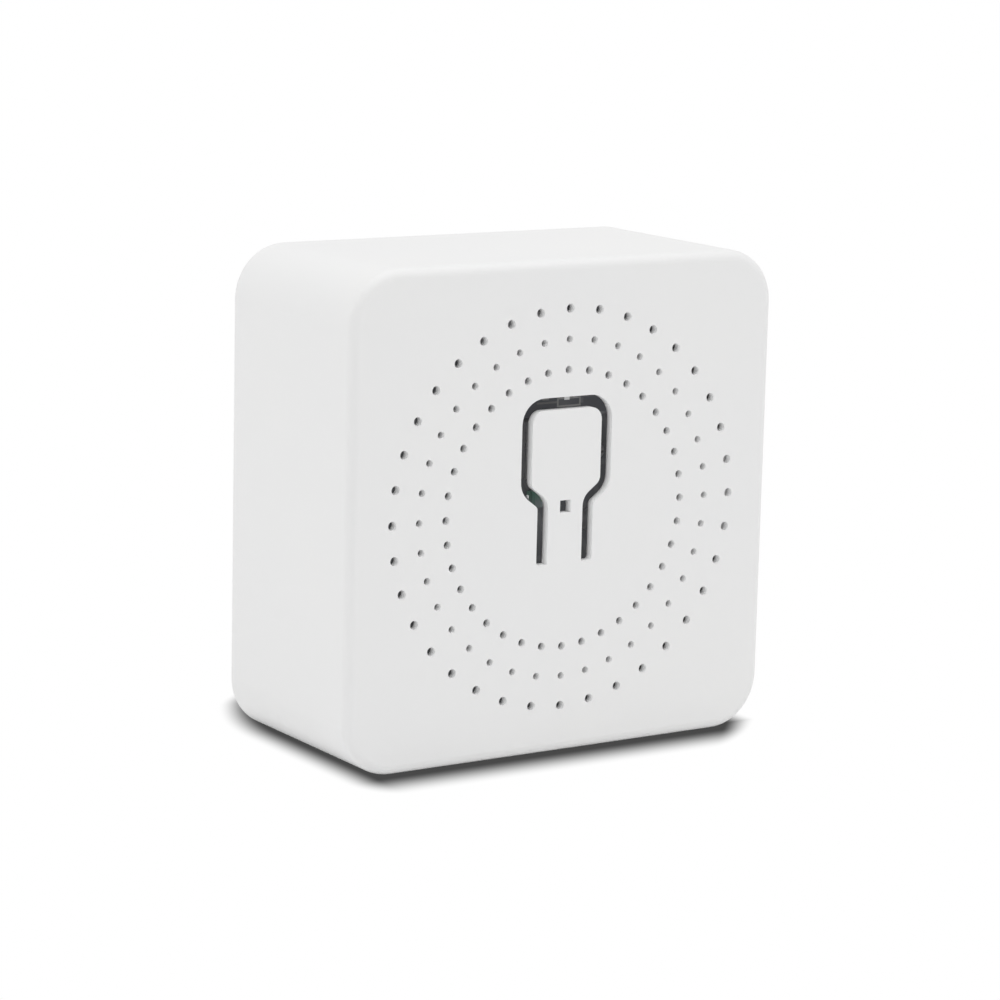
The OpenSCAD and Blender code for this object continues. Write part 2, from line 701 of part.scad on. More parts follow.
// The rear cover with its clips, posts and screwdriver holes
module rear_cover() {
  edge = rim_t + cover_gap;
  color("gainsboro") {
    difference() {
      translate([0, 0, mid_z]) along_y(y_cover, y_rear)
        rounded(body_w - 2 * edge, body_h - 2 * edge, corner_r - edge);
      for (i = [0:pole_count - 1]) rod_y(pole_x(i), cage_mid, driver_d / 2, y_cover - over, y_rear + over);
      span(-pry_w / 2, pry_w / 2, y_cover + cover_t / 2, y_rear + over, body_h - edge - pry_h, body_h);
    }
    for (sx = [0, 1], sz = [-1, 1]) mirror([sx, 0, 0]) clip(mid_z + sz * clip_z);
    for (sx = [-1, 1]) rod_y(sx * post_x, mid_z + post_dz, hold_r, y_parts, y_cover);
  }
}

// One clip of the cover: a thin arm with a sloped barb at its end
module clip(z) {
  x1 = in_x - clip_gap;
  x2 = in_x + clip_barb;
  y0 = y_cover - clip_l;
  y1 = y0 + barb_slope;
  y2 = y1 + barb_flat;
  translate([0, 0, z - clip_w / 2]) linear_extrude(clip_w)
    polygon([[x1 - clip_t, y0], [x1, y0], [x2, y1], [x2, y2],
      [x1, y2], [x1, y_cover], [x1 - clip_t, y_cover]]);
}

// The main board, with a hole for every solder leg
module main_board() {
  color("darkslategray") difference() {
    translate([0, 0, mid_z]) along_y(y_board, y_parts)
      rounded(board_w, board_h, corner_r - side_wall - board_gap);
    for (p = flat_legs)
      span(p[0] - p[2] - leg_gap, p[0] + p[2] + leg_gap, y_board - over, y_parts + over,
        p[1] - p[3] - leg_gap, p[1] + p[3] + leg_gap);
    for (p = round_legs) rod_y(p[0], p[1], p[2] + leg_gap, y_board - over, y_parts + over);
  }
}

// Solder cones in front of the board, one round each leg
module solder_joints() {
  color("silver") {
    for (p = flat_legs) difference() {
      solder_cone(p);
      span(p[0] - p[2], p[0] + p[2], y_leg_end - over, y_board + over, p[1] - p[3], p[1] + p[3]);
    }
    for (p = round_legs) difference() {
      solder_cone(p);
      rod_y(p[0], p[1], p[2], y_leg_end - over, y_board + over);
    }
  }
}

module solder_cone(p) {
  translate([p[0], y_board, p[1]]) rotate([90, 0, 0])
    cylinder(r1 = solder_r + p[2] - lead_r, r2 = p[2] + solder_lip, h = solder_l * solder_share);
}

// Small chip parts on both sides of the board
module chip_parts() {
  pitch = smd_w * 2;
  color("dimgray") {
    for (p = [[-leg_w - smd_w / 2, mid_z - smd_drop, 1], [gap_x, relay_z0 + smd_rise * fit_s, fit_s]],
      i = [0:3])
      translate([p[0], y_board - smd_t, p[1] + i * smd_l * p[2]])
        span(-smd_w / 2, smd_w / 2, 0, smd_t, 0, smd_side);
    for (i = [0:3]) translate([relay_x0 + relay_w * 0.195 + i * pitch, 0, 0])
      span(-smd_w / 2, smd_w / 2, y_parts, y_parts + smd_t, smd_z, smd_z + smd_l * fit_z);
  }
}

// Base of the push switch, with the well for its plunger
module switch_base() {
  color("black") difference() {
    span(-switch_w / 2, switch_w / 2, y_base, y_board, switch_z - switch_w / 2, switch_z + switch_w / 2);
    rod_y(0, switch_z, plunger_r + flange_over + well_gap,
      y_base - over, y_base + flange_l + stroke + well_room);
  }
}

// Steel frame folded over the switch's base
module switch_frame() {
  half = switch_w / 2;
  color("silver") {
    difference() {
      span(-half, half, y_frame, y_base, switch_z - half, switch_z + half);
      rod_y(0, switch_z, plunger_r + run_gap, y_frame - over, y_base + over);
    }
    for (s = [0, 1]) translate([0, 0, switch_z]) mirror([0, 0, s])
      span(-tab_w / 2, tab_w / 2, y_frame, y_board - tab_gap, half, half + frame_t);
  }
}

// Four flat legs of the switch
module switch_legs() {
  half = switch_leg_w / 2;
  color("silver") for (sx = [0, 1], sz = [-1, 1]) mirror([sx, 0, 0])
    translate([switch_w / 2, y_board - switch_leg_t, switch_z + sz * switch_w / 3])
      span(0, chip_leg, 0, switch_leg_t, -half, half);
}

// Plunger of the switch, held in by its flange
module switch_plunger() {
  color("dimgray") {
    rod_y(0, switch_z, plunger_r, y_plunger, y_base + run_gap);
    rod_y(0, switch_z, plunger_r + flange_over, y_base + run_gap, y_base + run_gap + flange_l);
  }
}

// Lamp behind the window: a base with a clear block on it
module status_lamp() {
  color("ivory") {
    lamp_block(lamp_l, y_board - lamp_base, y_board);
    lamp_block(lens_l, y_board - lamp_t, y_board - lamp_base);
  }
}

module lamp_block(l, y0, y1) {
  span(-l / 2, l / 2, y0, y1, lamp_z - lamp_h / 2, lamp_z + lamp_h / 2);
}

// Radio board, with four half-round pads on each long edge, away from the aerial's end
module radio_board() {
  color("black") difference() {
    span(-radio_w / 2, radio_w / 2, y_board - radio_t, y_board, radio_z0, radio_z1);
    for (z = [radio_z0, radio_z1], i = [1:4])
      rod_y(i * radio_pitch - radio_w / 2, z, radio_pad_r, y_board - radio_t - over, y_board + over);
  }
}

// Folded shield can over the radio chip
module radio_shield() {
  x0 = -radio_w / 2 + shield_inset;
  z0 = radio_z0 + (radio_h - shield_h) * fit_r / 2;
  z1 = radio_z1 - (radio_h - shield_h) * fit_r / 2;
  y1 = y_board - radio_t;
  color("lightgray") difference() {
    span(x0, x0 + shield_w, y1 - shield_d, y1, z0, z1);
    span(x0 + shield_wall, x0 + shield_w - shield_wall, y1 - shield_d + shield_wall, y1 + over,
      z0 + shield_wall, z1 - shield_wall);
  }
}

module radio_chip() {
  x = -radio_w / 2 + shield_inset + shield_w / 2;
  z = (radio_z0 + radio_z1) / 2;
  half = radio_chip_w * fit_r / 2;
  y = y_board - radio_t;
  color("black") span(x - half, x + half, y - shield_d * 0.64, y, z - half, z + half);
}

// The terminal block: wire entries below, screw wells behind, cells open at the top
module terminal_block() {
  cell = cage_w / 2 + run_gap;
  color("seagreen") difference() {
    span(-block_w / 2, block_w / 2, y_parts, y_cover, block_z, block_top);
    for (i = [0:pole_count - 1]) translate([pole_x(i), 0, 0]) {
      span(-cell, cell, cage_y - run_gap, roof_y, cell_z, block_top + over);
      translate([0, wire_y, block_z]) cylinder(r1 = wire_r + flare_r, r2 = wire_r, h = flare_l);
      translate([0, wire_y, bore_z - over]) cylinder(r = wire_r, h = wire_l + 2 * over);
      rod_y(0, cage_mid, screw_r + thread_gap, roof_y - over, y_cover + over);
      rod_y(0, cage_mid, screw_head_r + run_gap, head_y - run_gap, y_cover + over);
      span(-leg_half - leg_gap, leg_half + leg_gap, y_parts - over, cage_y,
        rail_end - rail_t - leg_gap, block_top + over);
    }
  }
}

// Contact rails: a bar through each cage and a leg down through the board
module terminal_rails() {
  bar = cage_w / 2 - cage_wall - rail_gap;
  color("goldenrod") for (i = [0:pole_count - 1]) translate([pole_x(i), 0, 0]) {
    span(-bar, bar, rail_y, rail_y + rail_t, cage_z, rail_end);
    span(-leg_half, leg_half, y_leg_end, rail_y, rail_end - rail_t, rail_end);
  }
}

// One terminal screw: slotted head, shank down to the rail
module terminal_screw(i) {
  color("silver") translate([pole_x(i), 0, 0]) {
    rod_y(0, cage_mid, screw_r, tip_y, head_y);
    difference() {
      union() {
        rod_y(0, cage_mid, screw_head_r, head_y, head_y + screw_head_l - head_bevel);
        translate([0, head_y + screw_head_l - head_bevel, cage_mid]) rotate([-90, 0, 0])
          cylinder(r1 = screw_head_r, r2 = screw_head_r - head_bevel, h = head_bevel);
      }
      span(-driver_slot / 2, driver_slot / 2, head_y + screw_head_l / 2, y_cover + over,
        cage_mid - screw_head_r - over, cage_mid + screw_head_r + over);
    }
  }
}

// One clamp cage: a square ring round the wire and the rail, with a threaded head
module clamp_cage(i) {
  inner = cage_w / 2 - cage_wall;
  color("lightsteelblue") translate([pole_x(i), 0, 0]) difference() {
    span(-cage_w / 2, cage_w / 2, cage_y, cage_top_y, cage_z, cage_z + cage_l);
    span(-inner, inner, clamp_y, cage_head_y, cage_z - over, cage_z + cage_l + over);
    rod_y(0, cage_mid, screw_r + run_gap, cage_head_y - over, cage_top_y + over);
  }
}

// Block of the relay's outline with round corners, less inset on each side
module relay_block(y0, y1, inset) {
  translate([(relay_x0 + relay_x1) / 2, 0, (relay_z0 + relay_z1) / 2]) along_y(y0, y1)
    rounded(relay_x1 - relay_x0 - 2 * inset, relay_z1 - relay_z0 - 2 * inset, relay_r - inset);
}

// Base plate of the relay, with a hole for each of its legs
module relay_base() {
  color("dimgray") difference() {
    relay_block(y_parts, relay_in_y, 0);
    for (k = [pole_count, pole_count + 1]) {
      p = flat_legs[k];
      span(p[0] - p[2], p[0] + p[2], y_parts - over, relay_in_y + over, p[1] - p[3], p[1] + p[3]);
    }
    for (k = [0, 1]) rod_y(round_legs[k][0], round_legs[k][1], lead_r, y_parts - over, relay_in_y + over);
  }
}

// Cover of the relay, a thin box open towards the base
module relay_cover() {
  color("midnightblue") difference() {
    relay_block(relay_in_y, relay_top_y, 0);
    relay_block(relay_in_y - over, relay_top_y - relay_wall, relay_wall);
  }
}

// Bobbin: a tube between two square flanges
module relay_bobbin() {
  half = flange / 2;
  color("ivory") difference() {
    union() {
      for (x = [bobbin_x, bobbin_x1 - flange_t])
        span(x, x + flange_t, coil_y - half, coil_y + half, coil_z - half, coil_z + half);
      rod_x(coil_y, coil_z, tube, bobbin_x, bobbin_x1);
    }
    rod_x(coil_y, coil_z, core, bobbin_x - over, bobbin_x1 + over);
    for (k = [0, 1]) rod_y(round_legs[k][0], round_legs[k][1], lead_r, relay_in_y - over, relay_in_y + pin_l);
  }
}

module relay_winding() {
  color("sienna") difference() {
    rod_x(coil_y, coil_z, flange / 2 - winding_inset * coil_fit, bobbin_x + flange_t, bobbin_x1 - flange_t);
    rod_x(coil_y, coil_z, tube, bobbin_x, bobbin_x1);
  }
}

// Core: a rod riveted through the yoke, with a wider pole
module relay_core() {
  color("silver") {
    rod_x(coil_y, coil_z, core, yoke_x, bobbin_x1);
    rod_x(coil_y, coil_z, core + pole_lip * coil_fit, bobbin_x1, pole_face_x);
  }
}

// Yoke: an end plate and a long plate beside the coil, with the common leg
module relay_yoke() {
  y1 = relay_in_y + flange - yoke_inset;
  p = flat_legs[pole_count + 1];
  color("gray") {
    difference() {
      span(yoke_x, bobbin_x, relay_in_y, y1, yoke_z, arm_top);
      rod_x(coil_y, coil_z, core, yoke_x - over, bobbin_x + over);
    }
    span(bobbin_x, pivot_x - pivot_gap, relay_in_y, y1, yoke_z, pivot_z);
    span(p[0] - p[2], p[0] + p[2], y_leg_end, relay_in_y, p[1] - p[3], p[1] + p[3]);
  }
}

// Armature: a plate that rocks on the end of the yoke
module relay_armature() {
  color("gray")
    span(pivot_x, pivot_x + iron_t, coil_y - arm_w / 2, coil_y + arm_w / 2, leaf_z + leaf_t, arm_top);
}

// Contact spring under the armature, with the moving contact at its end
module relay_spring() {
  color("peru") {
    span(contact_x - strip_half, pivot_x + iron_t,
      coil_y - strip_half - leaf_over, coil_y + strip_half + leaf_over,
      leaf_z, leaf_z + leaf_t);
    translate([contact_x, coil_y, moving_z]) cylinder(r = contact_r, h = contact_t);
  }
}

// Fixed contact on its strip, with the load leg
module relay_fixed_contact() {
  p = flat_legs[pole_count];
  color("peru") {
    span(contact_x - strip_half, contact_x + strip_half, relay_in_y, coil_y + strip_half + leaf_over,
      strip_z, strip_z + strip_t);
    translate([contact_x, coil_y, strip_z + strip_t]) cylinder(r = contact_r, h = contact_t);
    span(p[0] - p[2], p[0] + p[2], y_leg_end, relay_in_y, p[1] - p[3], p[1] + p[3]);
  }
}

module relay_coil_pins() {
  color("silver") for (k = [0, 1])
    rod_y(round_legs[k][0], round_legs[k][1], lead_r, y_leg_end, relay_in_y + pin_l);
}

// Two legs of a leaded part, from in front of the board up to y1
module wire_legs(first, y1) {
  for (k = [first, first + 1]) rod_y(round_legs[k][0], round_legs[k][1], lead_r, y_leg_end, y1);
}

// A can with a rounded shoulder, standing on the board; seal is the depth of the groove near its foot
module can(x, z, d, l, seal = 0) {
  r = d * fit_s / 2;
  translate([x, y_parts, z]) rotate([-90, 0, 0]) rotate_extrude() difference() {
    edge_section(r, l * fit_y, can_edge_r);
    if (seal > 0) translate([r, l * fit_y * seal_share]) circle(seal);
  }
}

// Disc varistor on two bent legs
module varistor() {
  r = varistor_d * fit_s / 2;
  y = y_parts + part_gap + r;
  color("royalblue") {
    rod_x(y, varistor_z, r, varistor_x - varistor_t * fit_s / 2, varistor_x + varistor_t * fit_s / 2);
    wire_legs(2, y);
  }
}

// Fusible resistor standing on end, its upper leg folded over
module fusible_resistor() {
  low = y_parts + fuse_rise;
  top = low + fuse_l * fit_y;
  fold = top + 2 * fuse_rise;
  color("olivedrab") {
    rod_y(fuse_x, fuse_z, fuse_d * fit_s / 2, low, top);
    rod_y(fuse_x, fuse_z, lead_r, y_leg_end, low);
    rod_y(fuse_x, fuse_z, lead_r, top, fold);
    rod_x(fold, fuse_z, lead_r, fuse_x - lead_r, fuse_x + fuse_pitch + lead_r);
    rod_y(fuse_x + fuse_pitch, fuse_z, lead_r, y_leg_end, fold);
  }
}

// A flat chip with legs along two sides, its place counted along the relay
module flat_chip(share, w, h, legs, pitch) {
  edge = h * fit_z / 2;
  translate([relay_x0 + relay_w * share, 0, chips_z]) {
    span(-w / 2, w / 2, y_parts + chip_lift, y_parts + chip_t, -edge, edge);
    for (s = [0, 1], i = [0:legs - 1]) mirror([0, 0, s]) translate([(i - (legs - 1) / 2) * pitch, 0, 0])
      span(-chip_leg_w / 2, chip_leg_w / 2, y_parts, y_parts + chip_leg_t,
        edge - chip_leg_t, edge + chip_leg * fit_z);
  }
}

module bridge_rectifier() {
  color("black") flat_chip(0.2, bridge_w, chip_h - 0.1, 2, bridge_w * 0.52);
}

module supply_chip() {
  color("black") flat_chip(0.52, chip_w, chip_h, 4, chip_w * 0.26);
}

module regulator() {
  color("black") flat_chip(0.85, regulator_w, chip_h - 0.4, 3, regulator_w * 0.35);
}

module bulk_capacitor() {
  color("black") {
    can(bulk_x, bulk_z, bulk_d, bulk_l, seal_r);
    wire_legs(4, y_parts);
  }
}

module output_capacitor() {
  color("darkgreen") {
    can(output_x, output_z, output_d, output_l, seal_r);
    wire_legs(6, y_parts);
  }
}

module choke() {
  color("black") {
    can(choke_x, choke_z, choke_d, choke_l);
    wire_legs(8, y_parts);
  }
}

front_housing();
button_tongue();
rear_cover();
main_board();
solder_joints();
chip_parts();
switch_base();
switch_frame();
switch_legs();
switch_plunger();
status_lamp();
radio_board();
radio_shield();
radio_chip();
terminal_block();
terminal_rails();
for (i = [0:pole_count - 1]) terminal_screw(i);
for (i = [0:pole_count - 1]) clamp_cage(i);
relay_base();
relay_cover();
relay_bobbin();
relay_winding();
relay_core();
relay_yoke();
relay_armature();
relay_spring();
relay_fixed_contact();
relay_coil_pins();
varistor();
fusible_resistor();
bridge_rectifier();
bulk_capacitor();
supply_chip();
choke();
output_capacitor();
regulator();
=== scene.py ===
import math
import bmesh
import bpy
from mathutils import Matrix, Vector


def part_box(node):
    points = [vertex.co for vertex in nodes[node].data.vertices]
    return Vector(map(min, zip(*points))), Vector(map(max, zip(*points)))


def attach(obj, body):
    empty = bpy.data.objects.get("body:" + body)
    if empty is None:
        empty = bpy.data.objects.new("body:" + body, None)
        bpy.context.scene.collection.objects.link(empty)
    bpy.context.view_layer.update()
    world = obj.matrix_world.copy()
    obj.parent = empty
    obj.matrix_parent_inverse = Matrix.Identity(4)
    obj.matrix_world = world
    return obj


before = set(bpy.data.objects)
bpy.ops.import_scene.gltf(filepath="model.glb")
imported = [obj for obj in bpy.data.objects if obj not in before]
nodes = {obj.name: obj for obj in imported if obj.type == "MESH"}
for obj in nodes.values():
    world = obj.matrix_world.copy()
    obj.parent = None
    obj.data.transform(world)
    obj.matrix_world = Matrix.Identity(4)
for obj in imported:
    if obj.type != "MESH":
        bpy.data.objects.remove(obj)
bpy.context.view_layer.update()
mm = 0.001
scene = bpy.context.scene
scene.view_settings.view_transform = "Standard"
print("frame loaded:", len(nodes), "nodes")

# sockets of a Mix node for each kind of value: its two inputs and its result
mixSockets = {"RGBA": (6, 7, 2), "VECTOR": (4, 5, 1)}


# one value of a shader tree; arithmetic on it adds Math nodes
class Wire:
    def __init__(self, finish, socket):
        self.finish = finish
        self.socket = socket

    def calc(self, operation, *others):
        values = dict(enumerate([self, *others]))
        return self.finish.node("ShaderNodeMath", values, operation=operation)

    def flipped(self, operation, other):
        return self.finish.node("ShaderNodeMath", {0: other, 1: self}, operation=operation)

    def __add__(self, other):
        return self.calc("ADD", other)

    def __sub__(self, other):
        return self.calc("SUBTRACT", other)

    def __mul__(self, other):
        return self.calc("MULTIPLY", other)

    def __truediv__(self, other):
        return self.calc("DIVIDE", other)

    def __radd__(self, other):
        return self.flipped("ADD", other)

    def __rsub__(self, other):
        return self.flipped("SUBTRACT", other)

    def __rmul__(self, other):
        return self.flipped("MULTIPLY", other)

    def __lt__(self, other):
        return self.calc("LESS_THAN", other)

    def __gt__(self, other):
        return self.calc("GREATER_THAN", other)

    def __abs__(self):
        return self.calc("ABSOLUTE")

    # distance from the nearest multiple of a step
    def wrap(self, step):
        return self.calc("PINGPONG", step / 2)

    def smallest(self, other):
        return self.calc("MINIMUM", other)

    def largest(self, other):
        return self.calc("MAXIMUM", other)

    # distance from the origin, with another value as the second axis
    def length(self, other):
        return (self * self + other * other).calc("SQRT")

    # 0 below low, 1 above high, eased between
    def ease(self, low, high):
        values = {"Value": self, "From Min": low, "From Max": high}
        return self.finish.node("ShaderNodeMapRange", values, interpolation_type="SMOOTHSTEP")


# one material: a Principled shader with whatever nodes feed it
class Finish:
    def __init__(self, name, colour, rough, **constants):
        self.material = bpy.data.materials.new(name)
        self.material.use_nodes = True
        self.tree = self.material.node_tree
        self.tree.nodes.clear()
        self.shader = self.tree.nodes.new("ShaderNodeBsdfPrincipled")
        self.output = self.tree.nodes.new("ShaderNodeOutputMaterial")
        self.tree.links.new(self.shader.outputs[0], self.output.inputs["Surface"])
        self.feed("Base Color", (*colour, 1))
        self.feed("Roughness", rough)
        for socket, value in constants.items():
            self.feed(socket.replace("_", " "), value)
        self.place = self.node("ShaderNodeTexCoord", out="Object")

    # adds a node: values go to its inputs, settings to the node itself
    def node(self, kind, values=None, out=0, **settings):
        made = self.tree.nodes.new(kind)
        for key, value in settings.items():
            setattr(made, key, value)
        for key, value in (values or {}).items():
            self.join(made.inputs[key], value)
        return Wire(self, made.outputs[out])

    def join(self, socket, value):
        if isinstance(value, Wire):
            self.tree.links.new(value.socket, socket)
        else:
            socket.default_value = value

    def feed(self, socket, value):
        self.join(self.shader.inputs[socket], value)

    # light that the surface gives off by itself
    def shine(self, colour):
        self.feed("Emission Color", colour)
        self.feed("Emission Strength", 1.0)

    def axes(self, vector=None):
        split = self.tree.nodes.new("ShaderNodeSeparateXYZ")
        self.join(split.inputs[0], vector or self.place)
        return [Wire(self, axis) for axis in split.outputs]

    # how far the face itself turns to the front or the back
    def facing(self):
        return abs(self.axes(self.node("ShaderNodeNewGeometry", out="True Normal"))[1])

    def grain(self, scale, detail=3, rough=0.5, stretch=None):
        at = self.place
        if stretch:
            at = self.node("ShaderNodeMapping", {"Vector": at, "Scale": stretch})
        values = {"Vector": at, "Scale": scale, "Detail": detail, "Roughness": rough}
        return self.node("ShaderNodeTexNoise", values)

    def cells(self, scale):
        return self.node("ShaderNodeTexVoronoi", {"Vector": self.place, "Scale": scale})

    def mix(self, kind, factor, a, b):
        first, second, result = mixSockets[kind]
        return self.node("ShaderNodeMix", {0: factor, first: a, second: b}, result, data_type=kind)

    def blend(self, factor, a, b):
        a, b = (c if isinstance(c, Wire) else (*c, 1) for c in (a, b))
        return self.mix("RGBA", factor, a, b)

    def dent(self, height, distance, strength, over=None):
        values = {"Height": height, "Distance": distance, "Strength": strength}
        if over:
            values["Normal"] = over
        self.feed("Normal", self.node("ShaderNodeBump", values))

    # normals that turn round sharp edges within a radius, where the mask is 1
    def softEdges(self, radius, samples, mask):
        rounded = self.node("ShaderNodeBevel", {"Radius": radius}, samples=samples)
        plain = self.node("ShaderNodeNewGeometry", out="Normal")
        return self.mix("VECTOR", mask, plain, rounded)

    def wear(self, *names):
        for name in names:
            nodes[name].material_slots[0].material = self.material


# camera that fits the photograph's vent rings and outline
cameraView = {"lens": 125.958, "sensor": 36, "clip": (0.01, 20), "azimuth": -33.173, "elevation": 10.845,
              "roll": 1.368, "distance": 281.096 * mm, "target": (-0.102 * mm, 0.0, 18.722 * mm)}


def placeCamera(view):
    az, el, roll = (math.radians(view[k]) for k in ("azimuth", "elevation", "roll"))
    back = Vector((math.sin(az) * math.cos(el), -math.cos(az) * math.cos(el), math.sin(el)))
    level = (-back).cross(Vector((0, 0, 1))).normalized()
    rise = back.cross(level)
    right = math.cos(roll) * level + math.sin(roll) * rise
    up = math.cos(roll) * rise - math.sin(roll) * level
    data = bpy.data.cameras.new("photoCamera")
    data.lens = view["lens"]
    data.sensor_width = view["sensor"]
    data.clip_start, data.clip_end = view["clip"]
    camera = bpy.data.objects.new("photoCamera", data)
    turn = Matrix((right, up, back)).transposed().to_4x4()
    place = Vector(view["target"]) + back * view["distance"]
    camera.matrix_world = Matrix.Translation(place) @ turn
    scene.collection.objects.link(camera)
    scene.camera = camera


placeCamera(cameraView)
print("camera placed")

# soft studio light: large softboxes and an even surround
lightRig = {"surround": 0.709, "shine": 0.8, "backdrop": 1.0, "aim": (0, 0, 0.019),
            "rays": {"Is Glossy Ray": "shine", "Is Transmission Ray": "shine", "Is Camera Ray": "backdrop"},
            "boxes": {"overFront": {"place": (0.02, -0.10, 0.5), "size": 0.5, "power": 1.15},
                      "leftSide": {"place": (-0.5, 0.32, 0.13), "size": 0.45, "power": 0.6},
                      "rightFront": {"place": (0.42, -0.42, 0.18), "size": 0.4, "power": 0.16}}}


def hangLamp(name, place, along, wide, tall, power):
    data = bpy.data.lights.new(name, "AREA")
    data.shape = "RECTANGLE"
    data.size = wide
    data.size_y = tall
    data.energy = power
    lamp = bpy.data.objects.new(name, data)
    turn = along.to_track_quat("-Z", "Y").to_matrix().to_4x4()
    lamp.matrix_world = Matrix.Translation(place) @ turn
    scene.collection.objects.link(lamp)
    return lamp


# the surround is one level as light, another in reflections and white to the camera
def lightWorld(rig):
    world = bpy.data.worlds.new("whiteSurround")
    world.use_nodes = True
    scene.world = world
    tree = world.node_tree
    tree.nodes.clear()
    path = tree.nodes.new("ShaderNodeLightPath")
    glow = tree.nodes.new("ShaderNodeBackground")
    glow.inputs["Color"].default_value = (1, 1, 1, 1)
    output = tree.nodes.new("ShaderNodeOutputWorld")
    tree.links.new(glow.outputs[0], output.inputs["Surface"])
    level = None
    for ray, kind in rig["rays"].items():
        pick = tree.nodes.new("ShaderNodeMix")
        tree.links.new(path.outputs[ray], pick.inputs["Factor"])
        pick.inputs["A"].default_value = rig["surround"]
        pick.inputs["B"].default_value = rig[kind]
        if level:
            tree.links.new(level, pick.inputs["A"])
        level = pick.outputs["Result"]
    tree.links.new(level, glow.inputs["Strength"])


lightWorld(lightRig)
for boxName, softbox in lightRig["boxes"].items():
    boxAim = Vector(lightRig["aim"]) - Vector(softbox["place"])
    hangLamp(boxName, softbox["place"], boxAim, softbox["size"], softbox["size"], softbox["power"])

# weak light inside the shell, for what thin white plastic lets through: on the boards, and
# towards the front round the slot and behind the vents
shellGlow = {"depth": 0.95 * mm,
             "lamps": {"boardGlow": {"level": 0.62, "facing": 1, "wide": 35 * mm, "tall": 35 * mm,
                                     "middle": 19.6 * mm},
                       "slotGlow": {"level": 0.08, "facing": -1, "wide": 11 * mm, "tall": 17 * mm,
                                    "middle": 21.6 * mm},
                       "ventGlow": {"level": 0.09, "facing": -1, "wide": 35 * mm, "tall": 35 * mm,
                                    "middle": 19.6 * mm}}}


def fillShell(look):
    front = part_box("front_housing")[0].y
    for name, part in look["lamps"].items():
        place = (0, front + look["depth"], part["middle"])
        power = part["level"] * math.pi * part["wide"] * part["tall"]
        lamp = hangLamp(name, place, Vector((0, part["facing"], 0)), part["wide"], part["tall"], power)
        lamp.visible_camera = False
        lamp.visible_glossy = False


fillShell(shellGlow)
print("lights hung:", len(lightRig["boxes"]) + len(shellGlow["lamps"]))

# white floor with a soft contact shadow, drawn from the module's own footprint
floorLook = {"size": 6.0, "bounce": 0.96, "rough": 0.9, "dark": 0.066,
             "left": 16.75 * mm, "right": 17.3 * mm, "front": 9.45 * mm, "rear": 16.0 * mm,
             "fadeAcross": 3.1 * mm, "fadeAlong": 4.7 * mm,
             "leftTurn": 6.0 * mm, "leftBend": 29.0, "rightTurn": 8.0 * mm, "rightSlope": 0.95}


def layFloor(look):
    mesh = bpy.data.meshes.new("floor")
    half = look["size"] / 2
    corners = [(-half, -half, 0), (half, -half, 0), (half, half, 0), (-half, half, 0)]
    mesh.from_pydata(corners, [], [(0, 1, 2, 3)])
    floor = bpy.data.objects.new("floor", mesh)
    scene.collection.objects.link(floor)
    finish = Finish("floorWhite", (look["bounce"],) * 3, look["rough"], Specular_IOR_Level=0.0)
    x, y, _ = finish.axes()
    behind = (y - look["leftTurn"]).largest(0)
    ahead = (-1 * y - look["rightTurn"]).largest(0)
    leftOf = (-1 * x - look["left"] + behind * behind * look["leftBend"]) / look["fadeAcross"]
    rightOf = (x - look["right"] + ahead * look["rightSlope"]) / look["fadeAcross"]
    inFront = (-1 * y - look["front"]) / look["fadeAlong"]
    atRear = (y - look["rear"]) / look["fadeAlong"]
    across = leftOf.largest(rightOf).largest(0)
    along = inFront.largest(atRear).largest(0)
    colour = finish.blend(across.length(along).ease(0, 1), (look["dark"],) * 3, (1, 1, 1))
    glow = finish.node("ShaderNodeEmission", {"Color": colour, "Strength": 1.0})
    camera, glossy, clear = (finish.node("ShaderNodeLightPath", out=ray)
                             for ray in ("Is Camera Ray", "Is Glossy Ray", "Is Transmission Ray"))
    seen = camera.largest(glossy).largest(clear)
    lit = Wire(finish, finish.shader.outputs[0])
    mixed = finish.node("ShaderNodeMixShader", {0: seen, 1: lit, 2: glow})
    finish.join(finish.output.inputs["Surface"], mixed)
    mesh.materials.append(finish.material)


layFloor(floorLook)
print("floor laid")


def tinted(colour, factors):
    return tuple(c * k for c, k in zip(colour, factors))


# moulded white; slot and vent walls are soft edged and painted paler: painted light for what thin plastic
# lets through
whiteLook = {"specular": 0.4, "cloudScale": 70, "cloudDetail": 2, "warm": (1.008, 1.006, 0.998),
             "cool": (0.992, 0.994, 0.998), "grainDetail": 4, "grainRough": 0.6, "roughSwing": 0.12,
             "dent": 0.6, "wall": (0.97, 0.97, 0.97), "wallWithin": 17.0 * mm, "wallFacing": 0.7,
             "softRadius": 0.42 * mm, "softSamples": 6, "rootHalf": 2.0 * mm, "rootReach": 0.3 * mm}
whitePlastics = {"housingWhite": {"colour": (0.80, 0.80, 0.80), "rough": 0.42, "grain": 0.11 * mm,
                                  "depth": 0.004 * mm, "wornBy": ("front_housing", "button_tongue")},
                 "coverWhite": {"colour": (0.78, 0.78, 0.776), "rough": 0.5, "grain": 0.16 * mm,
                                "depth": 0.008 * mm, "wornBy": ("rear_cover",)}}


